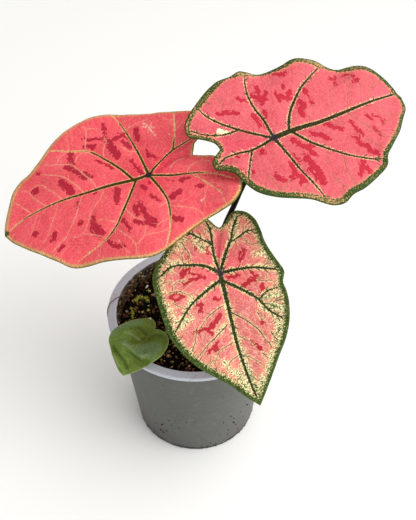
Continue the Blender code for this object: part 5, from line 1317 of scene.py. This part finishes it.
def pot_plastic():
    """Grey polypropylene: a rim painted pale, which is painted light from above, over a wall painted darker, which is
    painted shade, pale smears of dust, a fine moulded grain that only the bump shows, dark specks of splashed soil that
    grow denser near the foot, brown stains low on two sides, and a black line of wet dirt along the foot."""
    material, tree = new_material("pot_grey_polypropylene_moulded")
    place = add(tree, "TexCoord", out="Object")
    height = add(tree, "SeparateXYZ", (place,), out="Z")
    sideways = add(tree, "SeparateXYZ", (place,), out="X")
    cloud = add(tree, "TexNoise", {"Vector": place, "Scale": 45, "Detail": 4}, out="Fac")
    smear = add(tree, "TexNoise", {"Vector": place, "Scale": 260, "Detail": 5}, out="Fac")
    fine = add(tree, "TexNoise", {"Vector": place, "Scale": 1500, "Detail": 2}, out="Fac")

    # Painted shade and light: the wall's dark grey stands in for its shade, and the pale rim above it for the light
    # from above.
    tone = add(tree, "Mix", {0: cloud, 6: "#4a4c49", 7: "#575954"}, **COLOURS)
    rim = add(tree, "MapRange", (height, *RIM_PAINTED_LIGHT))
    tone = add(tree, "Mix", {0: rim, 6: tone, 7: "#bcc0ca"}, **COLOURS)
    dust = add(tree, "MapRange", (smear, 0.55, 0.75, 0, 0.25))
    tone = add(tree, "Mix", {0: dust, 6: tone, 7: "#83817b"}, **COLOURS)
    # Specks: round spots of a Voronoi pattern, most of them left out by the random cell colour
    for scale, size, most, drop, colour, strength in (
        (330, 0.16, 0.14, 7.0, "#2f2724", 0.85), (600, 0.20, 0.12, 10.0, "#3f342c", 0.7),
    ):
        cell = add(tree, "TexVoronoi", {"Vector": place, "Scale": scale}, out="Color")
        spot = add(tree, "TexVoronoi", {"Vector": place, "Scale": scale}, out="Distance")
        chance = add(tree, "SeparateColor", (cell,), out="Green")
        low = add(tree, "MapRange", (height, *SPECKS_THIN_OUT, most, most / drop))
        kept = add(tree, "Math", (chance, low), operation="LESS_THAN")
        spotted = add(tree, "MapRange", (spot, size * 1.5, size, 0, strength))
        specks = add(tree, "Math", (kept, spotted), operation="MULTIPLY")
        tone = add(tree, "Mix", {0: specks, 6: tone, 7: colour}, **COLOURS)
    # Stains: below some 30 mm, on the two sides, where the smear noise is strong
    side = add(tree, "Math", (sideways, 0.004), operation="SUBTRACT")
    side = add(tree, "Math", (side,), operation="ABSOLUTE")
    side = add(tree, "MapRange", (side, *STAIN_AWAY))
    low = add(tree, "MapRange", (height, *STAIN_HEIGHT))
    patchy = add(tree, "MapRange", (smear, 0.40, 0.56, 0, 0.9))
    stain = add(tree, "Math", (side, low), operation="MULTIPLY")
    stain = add(tree, "Math", (stain, patchy), operation="MULTIPLY")
    tone = add(tree, "Mix", {0: stain, 6: tone, 7: "#48332b"}, **COLOURS)
    wet = add(tree, "Math", (smear, 0.014, height), operation="MULTIPLY_ADD")
    foot = add(tree, "MapRange", (wet, *WET_FOOT, 0, 0.95))
    tone = add(tree, "Mix", {0: foot, 6: tone, 7: "#1b1611"}, **COLOURS)
    # The inside of the wall: dried soil, brown to olive, that thins out to the top. The wall leans outward, so its
    # inside is told from its outside by the distance from the axis less the slope times the height.
    flat = add(tree, "VectorMath", (place, (1, 1, 0)), operation="MULTIPLY")
    reach = add(tree, "VectorMath", (flat,), out="Value", operation="LENGTH")
    inward = add(tree, "Math", (height, -WALL_SLOPE, reach), operation="MULTIPLY_ADD")
    inside = add(tree, "MapRange", (inward, *INNER_WALL))
    top = add(tree, "Math", (smear, 0.008, height), operation="MULTIPLY_ADD")
    top = add(tree, "MapRange", (top, *CRUST_TOP, 0, 0.95))
    bottom = add(tree, "MapRange", (height, *CRUST_BOTTOM))
    soiled = add(tree, "Math", (inside, top), operation="MULTIPLY")
    soiled = add(tree, "Math", (soiled, bottom), operation="MULTIPLY")
    mud = add(tree, "MapRange", (smear, 0.4, 0.65))
    mud = add(tree, "Mix", {0: mud, 6: "#231911", 7: "#665336"}, **COLOURS)
    tone = add(tree, "Mix", {0: soiled, 6: tone, 7: mud}, **COLOURS)
    bump = add(tree, "Bump", {"Height": fine, "Strength": 0.12, "Distance": 0.0001}, out="Normal")
    surface = add(tree, "BsdfPrincipled", {
        "Base Color": tone, "Roughness": 0.5, "IOR": 1.49, "Specular IOR Level": 0.35, "Normal": bump,
    })
    close_material(tree, surface)
    return material


# %% Build the pot
corners = (
    (0, 0), (20, 0), (20.8, 0.8), (BASE - FOOT - 0.8, 0.8), (BASE - FOOT, 0), (BASE - 0.4, 0),
    (wall_radius(LIP - 1), LIP - 1), (NECK + 1, LIP), (RIM_RADIUS, LIP), (RIM_RADIUS, POT_HEIGHT),
    (RIM_INNER - 0.6, POT_HEIGHT), (wall_radius(LIP - 2) - WALL, LIP - 2), (wall_radius(FLOOR_TOP) - WALL, FLOOR_TOP),
    (0, FLOOR_TOP),
)
corner_radii = (0.3, 0.3, 0.3, 0.3, 1.5, 0.6, 0.5, 0.9, 1.0, 1.2, 0.6, 1.8)
shell = turned(rounded(corners, corner_radii, ARC_STEPS) * MM, POT_SIDES)
pot = mesh_piece("pot_shell", *shell, (pot_plastic(),), "pot_plastic", replaces=("pot",))

points, faces = turned(np.array([(0, -2), (HOLE_RADIUS, -2), (HOLE_RADIUS, 6), (0, 6)]) * MM, HOLE_SIDES)
turns = 2 * np.pi * (np.arange(HOLES) + 0.5) / HOLES
centres = HOLE_CIRCLE * MM * np.stack([np.cos(turns), np.sin(turns), 0 * turns], -1)
points, faces = joined([(points + centre, faces) for centre in centres])
drill_mesh = bpy.data.meshes.new("drills")
drill_mesh.from_pydata(points.tolist(), [], faces.tolist())
drills = new_object("drills", drill_mesh)
cut = pot.modifiers.new("drain_holes", "BOOLEAN")
cut.operation = "DIFFERENCE"
cut.object = drills
cut.solver = "EXACT"
bpy.context.view_layer.update()
cut_mesh = bpy.data.meshes.new_from_object(pot.evaluated_get(bpy.context.evaluated_depsgraph_get()))
pot.modifiers.clear()
pot.data = cut_mesh
pot.data.set_sharp_from_angle(angle=0.9)
bpy.data.objects.remove(drills)
print("pot after the holes:", len(pot.data.polygons), "faces")

# %% [markdown]
# ## Potting mix
#
# The mix is peat and fine bark: nearly black when moist, crumbly, with pale grains of perlite and golden flakes of
# vermiculite. The ground under it is one closed plug with a rough top. On it lie a few thousand crumbs. Each crumb is
# a twenty-sided stone shape, stretched and turned at random, so they cost little and still break up the light. A
# number stored on each crumb picks its colour.

# %% Soil ground
SOIL_LEVEL, SOIL_MOUND, SOIL_LUMP = 97.5, 2.5, 1.1
TUBER_CENTRE = np.array([-2.0, 1.0])
POCKET_MOUTH, MOUTH_RADIUS = 98.7, 14.9
SOIL_GAP, SOIL_REACH = 0.45, 51.5  # room between the plug and the wall, and how far out loose crumbs lie


def soil_height(x, y):
    """Ground level in millimetres: a low round mound, the CAD model's three sine waves, and two finer reliefs."""
    distance = np.hypot(x, y)
    wave = np.sin(0.31 * x + 0.095 * y + 0.4) + np.sin(-0.14 * x + 0.27 * y + 1.9)
    wave = wave + 0.8 * np.sin(0.42 * x - 0.365 * y + 2.7)
    fine = 0.55 * relief(x, y, 3.1, 21) + 0.3 * relief(x, y, 1.4, 22)
    return SOIL_LEVEL + SOIL_MOUND * np.exp(-((distance / 30) ** 2)) + SOIL_LUMP * wave / 2.8 + fine


def soil_material(name, ramp, roughness=0.95):
    """Crumbs and ground: a stored tint from 0 to 1 picks a colour from a ramp, and noise breaks it up."""
    material, tree = new_material(name)
    place = add(tree, "TexCoord", out="Object")
    tint = add(tree, "Attribute", out="Fac", attribute_name="tint")
    noise = add(tree, "TexNoise", {"Vector": place, "Scale": 900, "Detail": 4}, out="Fac")
    wander = add(tree, "Math", (noise, 0.16, tint), operation="MULTIPLY_ADD")
    node = tree.nodes.new("ShaderNodeValToRGB")
    tree.links.new(wander, node.inputs["Fac"])
    while len(node.color_ramp.elements) < len(ramp):
        node.color_ramp.elements.new(0.5)
    for element, (at, colour) in zip(node.color_ramp.elements, ramp):
        element.position = at
        element.color = linear(colour)
    bump = add(tree, "Bump", {"Height": noise, "Strength": 0.6, "Distance": 0.0004}, out="Normal")
    surface = add(tree, "BsdfPrincipled", {
        "Base Color": node.outputs["Color"], "Roughness": roughness, "Specular IOR Level": 0.12, "Normal": bump,
    })
    close_material(tree, surface)
    return material


earth = soil_material(
    "potting_mix_peat_and_bark",
    ((0.0, "#050302"), (0.3, "#0d0704"), (0.5, "#22130e"), (0.65, "#5f3829"), (0.8, "#937345"), (1.0, "#cfc8b6")),
)


def level_ring(flat, height):
    """A ring of points at one height, or each at its own."""
    return np.column_stack([flat, np.broadcast_to(height, len(flat))])


circle = circle_of(180)
wall_line = (wall_radius(SOIL_LEVEL) - WALL - SOIL_GAP) * circle
mouth = TUBER_CENTRE + MOUTH_RADIUS * circle
rings = [  # against the wall: the height whose wall radius counts, the gap to it, and the ring's own height
    level_ring((wall_radius(at) - WALL - gap) * circle, height)
    for at, gap, height in ((3, 2, FLOOR_TOP + 0.3), (5, SOIL_GAP, FLOOR_TOP + 1.9), (50, SOIL_GAP, 50))
]
for share in np.linspace(1, 0.02, 46):
    flat = mouth + share * (wall_line - mouth)
    rings.append(level_ring(flat, soil_height(*flat.T) - 0.8 * (share == 1)))
# The pocket that holds the tuber, from its mouth down
for radius, height in ((MOUTH_RADIUS, POCKET_MOUTH - 1.2), (18.9, 88.0), (15.0, 72.5), (8.0, 69.5)):
    rings.append(level_ring(TUBER_CENTRE + radius * circle, height))
points, faces = closed_body(np.stack(rings), [(0, 0, FLOOR_TOP + 0.3), (*TUBER_CENTRE, 68.5)])
ground_tint = 0.02 + 0.18 * np.random.default_rng(4).random(len(points))
mesh_piece("soil_ground", points * MM, faces, (earth,), "potting_mix", {"tint": ground_tint}, ("soil",))

# %% Crumbs
GOLDEN = (1 + 5**0.5) / 2
STONE = unit([
    (-1, GOLDEN, 0), (1, GOLDEN, 0), (-1, -GOLDEN, 0), (1, -GOLDEN, 0), (0, -1, GOLDEN), (0, 1, GOLDEN),
    (0, -1, -GOLDEN), (0, 1, -GOLDEN), (GOLDEN, 0, -1), (GOLDEN, 0, 1), (-GOLDEN, 0, -1), (-GOLDEN, 0, 1),
])
STONE_FACES = np.array([
    (0, 11, 5), (0, 5, 1), (0, 1, 7), (0, 7, 10), (0, 10, 11), (1, 5, 9), (5, 11, 4), (11, 10, 2), (10, 7, 6),
    (7, 1, 8), (3, 9, 4), (3, 4, 2), (3, 2, 6), (3, 6, 8), (3, 8, 9), (4, 9, 5), (2, 4, 11), (6, 2, 10), (8, 6, 7),
    (9, 8, 1),
])


def crumbs(places, sizes, dice, flat=0.7):
    """One stone shape for each place: stretched by random shares, turned by a random orthogonal matrix, and moved."""
    count = len(places)
    stretch = sizes[:, None] * dice.uniform((0.7, 0.6, 0.45 * flat), (1.25, 1.1, flat), (count, 3))
    turns = np.linalg.qr(dice.normal(size=(count, 3, 3)))[0]
    turns *= np.sign(np.linalg.det(turns))[:, None, None]
    corners = STONE * dice.uniform(0.75, 1.2, (count, len(STONE), 1))
    points = np.einsum("nij,nkj->nki", turns, corners * stretch[:, None]) + places[:, None]
    faces = STONE_FACES + len(STONE) * np.arange(count)[:, None, None]
    return points.reshape(-1, 3) * MM, faces.reshape(-1, 3)


def crumb_piece(name, shape, tints, material=earth):
    """One object from many crumbs, each with its tint on all of its points."""
    mesh_piece(name, *shape, (material,), "potting_mix", {"tint": np.repeat(tints, len(STONE))})


def scatter_on_soil(dice, count, inner=15.5):
    """Random places spread evenly over the ground, from an inner radius to near the wall."""
    radius = np.sqrt(dice.uniform(inner**2, SOIL_REACH**2, count))
    turn = dice.uniform(0, 2 * np.pi, count)
    x, y = radius * np.cos(turn), radius * np.sin(turn)
    return x, y, soil_height(x, y)


dice = np.random.default_rng(11)
x, y, z = scatter_on_soil(dice, 3600)
sizes = np.clip(dice.lognormal(-0.15, 0.45, len(x)), 0.3, 2.1)
places = np.stack([x, y, z + 0.25 * sizes], -1)
heap = crumbs(places, sizes, dice)
tints = np.clip(dice.normal(0.24, 0.2, len(x)), 0.0, 0.6)
chance = dice.random(len(x))
for above, low, high in ((0.82, 0.52, 0.74), (0.95, 0.68, 0.82)):  # brown flakes, then golden ones
    tints = np.where(chance > above, dice.uniform(low, high, len(x)), tints)
tints = np.where(chance > 0.992, 0.95, tints)  # a few pale grains of perlite
crumb_piece("soil_crumbs", heap, tints)

# %% [markdown]
# Watering has splashed soil over the inside of the wall, and it dried there as a crust of fine crumbs. The rim and the
# outside carry single specks. A speck on the outside is given by its angle round the pot, its height and its size.

# %% Dirt on the pot
CRUST, BACK_SPECKS, FOOT_SPECKS = 2600, 60, 170  # how many crumbs and specks lie there
SUNK = 0.12  # millimetres
# Degrees round the pot, height and size; on the rim x, y and size
SPECKS = (
    (-113, 38.7, 0.6), (-111, 32.9, 0.4), (-107, 41, 0.45), (-104, 31.5, 0.4), (-97, 42.6, 0.5), (-91, 43, 0.4),
    (-102, 45.7, 0.3), (-98, 68.8, 0.3), (-96, 65, 0.3), (-83, 64.3, 0.3), (-68, 73.2, 0.35), (-39, 37.9, 0.5),
    (-58, 39.2, 0.5), (-54, 32.9, 0.45), (-54, 26.9, 0.7), (-65, 34.2, 0.45), (-51, 21.5, 0.35), (-59, 19.4, 0.4),
    (-67, 17, 0.35), (-71, 25.6, 0.3), (-59, 12.9, 0.4), (-127, 37.3, 0.35), (-121, 27.7, 0.6), (-128, 23.6, 0.4),
    (-124, 17.6, 0.65), (-121, 16.2, 0.6), (-117, 20.9, 0.4), (-76, 8.3, 0.5), (-47, 35.4, 0.4), (-42, 23.6, 0.35),
    (-47, 11.9, 0.4), (-89, 80.2, 0.25),
)
RIM_SPECKS = (
    (-49.8, 28.7, 0.32), (-52.6, 24.9, 0.36), (-54.8, 12.1, 0.36), (-55.6, -9.7, 0.32), (-56.4, 9.7, 0.27),
    (-31.3, 48.3, 0.27), (-16.9, -55.8, 0.27), (1.1, -57.6, 0.27), (22, 52, 0.3), (47, 31, 0.35), (51, -25, 0.3),
)


def on_wall(angles, heights, outside):
    """Places on the wall: on its inside, or a tenth of a millimetre deep in its outside."""
    radius = wall_radius(heights) - (SUNK if outside else WALL)
    return np.stack([radius * np.cos(angles), radius * np.sin(angles), heights], -1)


angles = dice.uniform(0, 2 * np.pi, CRUST)
heights = SOIL_LEVEL - 0.5 + (POT_HEIGHT - 0.8 - SOIL_LEVEL) * dice.beta(1.1, 1.5, CRUST)
sizes = np.clip(dice.lognormal(-0.6, 0.4, CRUST), 0.25, 1.2)
heap = crumbs(on_wall(angles, heights, outside=False), sizes, dice)
crumb_piece("wall_crust", heap, np.clip(dice.normal(0.5, 0.2, CRUST), 0.05, 0.9))

degrees, heights, radii = np.array(SPECKS).T
behind = on_wall(dice.uniform(0, np.pi, BACK_SPECKS), 4 + 60 * dice.random(BACK_SPECKS) ** 2, outside=True)
sizes = [radii * 1.25, dice.uniform(0.2, 0.6, BACK_SPECKS)]
foot = on_wall(dice.uniform(0, 2 * np.pi, FOOT_SPECKS), dice.uniform(0.9, 2.6, FOOT_SPECKS), outside=True)
rim_x, rim_y, rim_sizes = np.array(RIM_SPECKS).T
rim = np.stack([rim_x, rim_y, np.full(len(rim_x), POT_HEIGHT)], -1)
sizes = np.concatenate([*sizes, dice.uniform(0.2, 0.5, FOOT_SPECKS), rim_sizes])
places = np.vstack([on_wall(np.radians(degrees), heights, outside=True), behind, foot, rim])
heap = crumbs(places, sizes, dice, flat=0.6)
crumb_piece("pot_specks", heap, dice.uniform(0.05, 0.5, len(sizes)))

# %% [markdown]
# A few things grow or lie on the mix: cushions of yellow-green moss, tan and olive grains of slow fertiliser and
# bark, and a few dry root fibres, one of which hangs over the rim. A cushion is a heap of small beads, higher in its
# middle.

# %% Moss, grains and fibres
moss = soil_material("moss_yellow_green", ((0.0, "#3c4410"), (0.5, "#7d8226"), (0.8, "#a3a63a"), (1.0, "#c4c468")), 0.9)
grain_skin = soil_material(
    "tan_bark_grain", ((0.0, "#55501f"), (0.4, "#7d6f34"), (0.7, "#b58a4c"), (1.0, "#d9bd8a")), 0.7
)
BEADS = 46  # in each cushion
# x, y and radius of a cushion; x, y, size and tint of a grain
CUSHIONS = (
    (-42.3, 16.2, 2.0), (-41, 18.8, 2.0), (-38.4, 20, 1.6), (-35.8, 19.2, 2.2), (-34, 16.6, 1.7), (-34, 25.9, 1.4),
    (-45.2, 9.4, 1.3), (-44.2, 6.6, 1.3), (-43.6, 3.8, 1.3), (-44.2, 1, 1.3), (-33, 7, 1.5), (24, 34, 2.4),
    (27, 31.5, 1.8), (-8, 44, 1.7), (40, 8, 1.6),
)
GRAINS = (
    (-37, 5.2, 1.5, 0.8), (-39.5, 5.6, 1.2, 0.35), (-17.6, -34, 1.4, 0.75), (-14.8, -38.2, 1.7, 0.3),
    (-20.4, -32.4, 0.9, 0.6), (-12.3, -34, 1, 0.5), (-3.5, -41.5, 1.2, 0.75), (-8, -39, 0.9, 0.4),
    (-22, -37, 0.9, 0.5), (-32.8, 26.5, 0.6, 1.0), (-39.8, 21.8, 0.5, 1.0), (-50, 23.3, 0.8, 0.9),
)
parts, tints = [], []
for x, y, radius in CUSHIONS:
    spots = dice.normal(0, radius * 0.42, (BEADS, 2))
    rise = 1.1 * radius * np.exp(-((np.hypot(*spots.T) / radius) ** 2))
    spots = spots + (x, y)
    places = np.column_stack([spots, soil_height(*spots.T) + rise])
    parts.append(crumbs(places, dice.uniform(0.3, 0.55, BEADS), dice, flat=1.2))
    tints.append(np.clip(0.2 + rise / radius * 0.55 + dice.normal(0, 0.12, BEADS), 0, 1))
crumb_piece("moss_cushions", joined(parts), np.concatenate(tints), moss)

x, y, _ = scatter_on_soil(dice, 240, inner=17)
grain_x, grain_y, grain_sizes, grain_tints = np.array(GRAINS).T
x, y = np.append(grain_x, x), np.append(grain_y, y)
loose = len(x) - len(GRAINS)
sizes = np.append(grain_sizes, dice.uniform(0.4, 1.0, loose))
tints = np.append(grain_tints, np.clip(dice.normal(0.35, 0.2, loose), 0, 0.9))
places = np.stack([x, y, soil_height(x, y) + 0.7 * sizes + 0.2], -1)
crumb_piece("bark_grains", crumbs(places, sizes, dice, flat=1.1), tints, grain_skin)

# Radius of a fibre at its start, then the points it passes
FIBRES = (
    (0.36, ((-59.6, -6.5, 108.6), (-59.9, -3, 109.9), (-59.6, 0.6, 110.4), (-58.4, 4, 110.5), (-55.6, 7.6, 110.5),
            (-52.5, 10.8, 109.6), (-50, 14, 107), (-47.5, 17.5, 103), (-45.5, 20, 98.5))),
    (0.26, ((-49, 27, 106), (-48, 23, 104.4), (-47.6, 20, 102.4), (-47, 16, 98.4))),
    (0.18, ((-20, 48, 106), (-24, 44, 102), (-26, 38, 98.5))),
    (0.2, ((30, -20, 98.3), (26, -28, 99.6), (20, -33, 99.4), (15, -41, 98.2))),
)
root = vein_line_material("dry_root_fibre", ("#93695a", "#5d4036"), 0.8)
steps = 40
parts = [
    carried(curve_through(points, steps) * MM, (0.3, 0.2, 1), circle_of(8), radius * np.linspace(1, 0.5, steps) * MM)
    for radius, points in FIBRES
]
mesh_piece("root_fibres", *joined(parts), (root,), "potting_mix")

# %% [markdown]
# ## The tuber
#
# The tuber is a flattened brown corm with ring scars and a papery skin. Only its crown would show between the stalks.
# It is a turned shape whose radius is shaken by relief.

# %% Tuber
TUBER_RADIUS, TUBER_WAIST, TUBER_TOP, TUBER_BOTTOM, TUBER_FULLNESS = 18.5, 88.0, 103.5, 69.0, 2.3
TUBER_SHRINK = 0.985  # keeps the shaken skin inside the CAD shape
rows, columns = 60, 96
angle = np.linspace(-np.pi / 2, np.pi / 2, rows + 2)[1:-1, None]
turn = np.arange(columns) * 2 * np.pi / columns
reach = np.where(angle > 0, TUBER_TOP - TUBER_WAIST, TUBER_WAIST - TUBER_BOTTOM)
height = TUBER_WAIST + np.sign(angle) * reach * np.abs(np.sin(angle)) ** (2 / TUBER_FULLNESS)
shake = 1 + 0.012 * np.cos(height * 2.4) + 0.02 * relief(turn * 9 / np.pi * 3 + 0 * angle, height, 2.7, 33)
radius = TUBER_RADIUS * np.abs(np.cos(angle)) ** (2 / TUBER_FULLNESS) * shake * TUBER_SHRINK
rings = np.stack([radius * np.cos(turn), radius * np.sin(turn), np.broadcast_to(height, radius.shape)], -1)
points, faces = closed_body(rings, [(0, 0, TUBER_BOTTOM), (0, 0, TUBER_TOP)])
points = (points + (*TUBER_CENTRE, 0)) * MM
corm = soil_material(
    "tuber_papery_skin", ((0.0, "#241710"), (0.4, "#3e2b1c"), (0.7, "#5d4128"), (1.0, "#7a5a3a")), 0.85
)
tuber_tint = 0.35 + 0.25 * np.random.default_rng(6).random(len(points))
mesh_piece("tuber_corm", points, faces, (corm,), "tuber_skin", {"tint": tuber_tint}, ("tuber",))
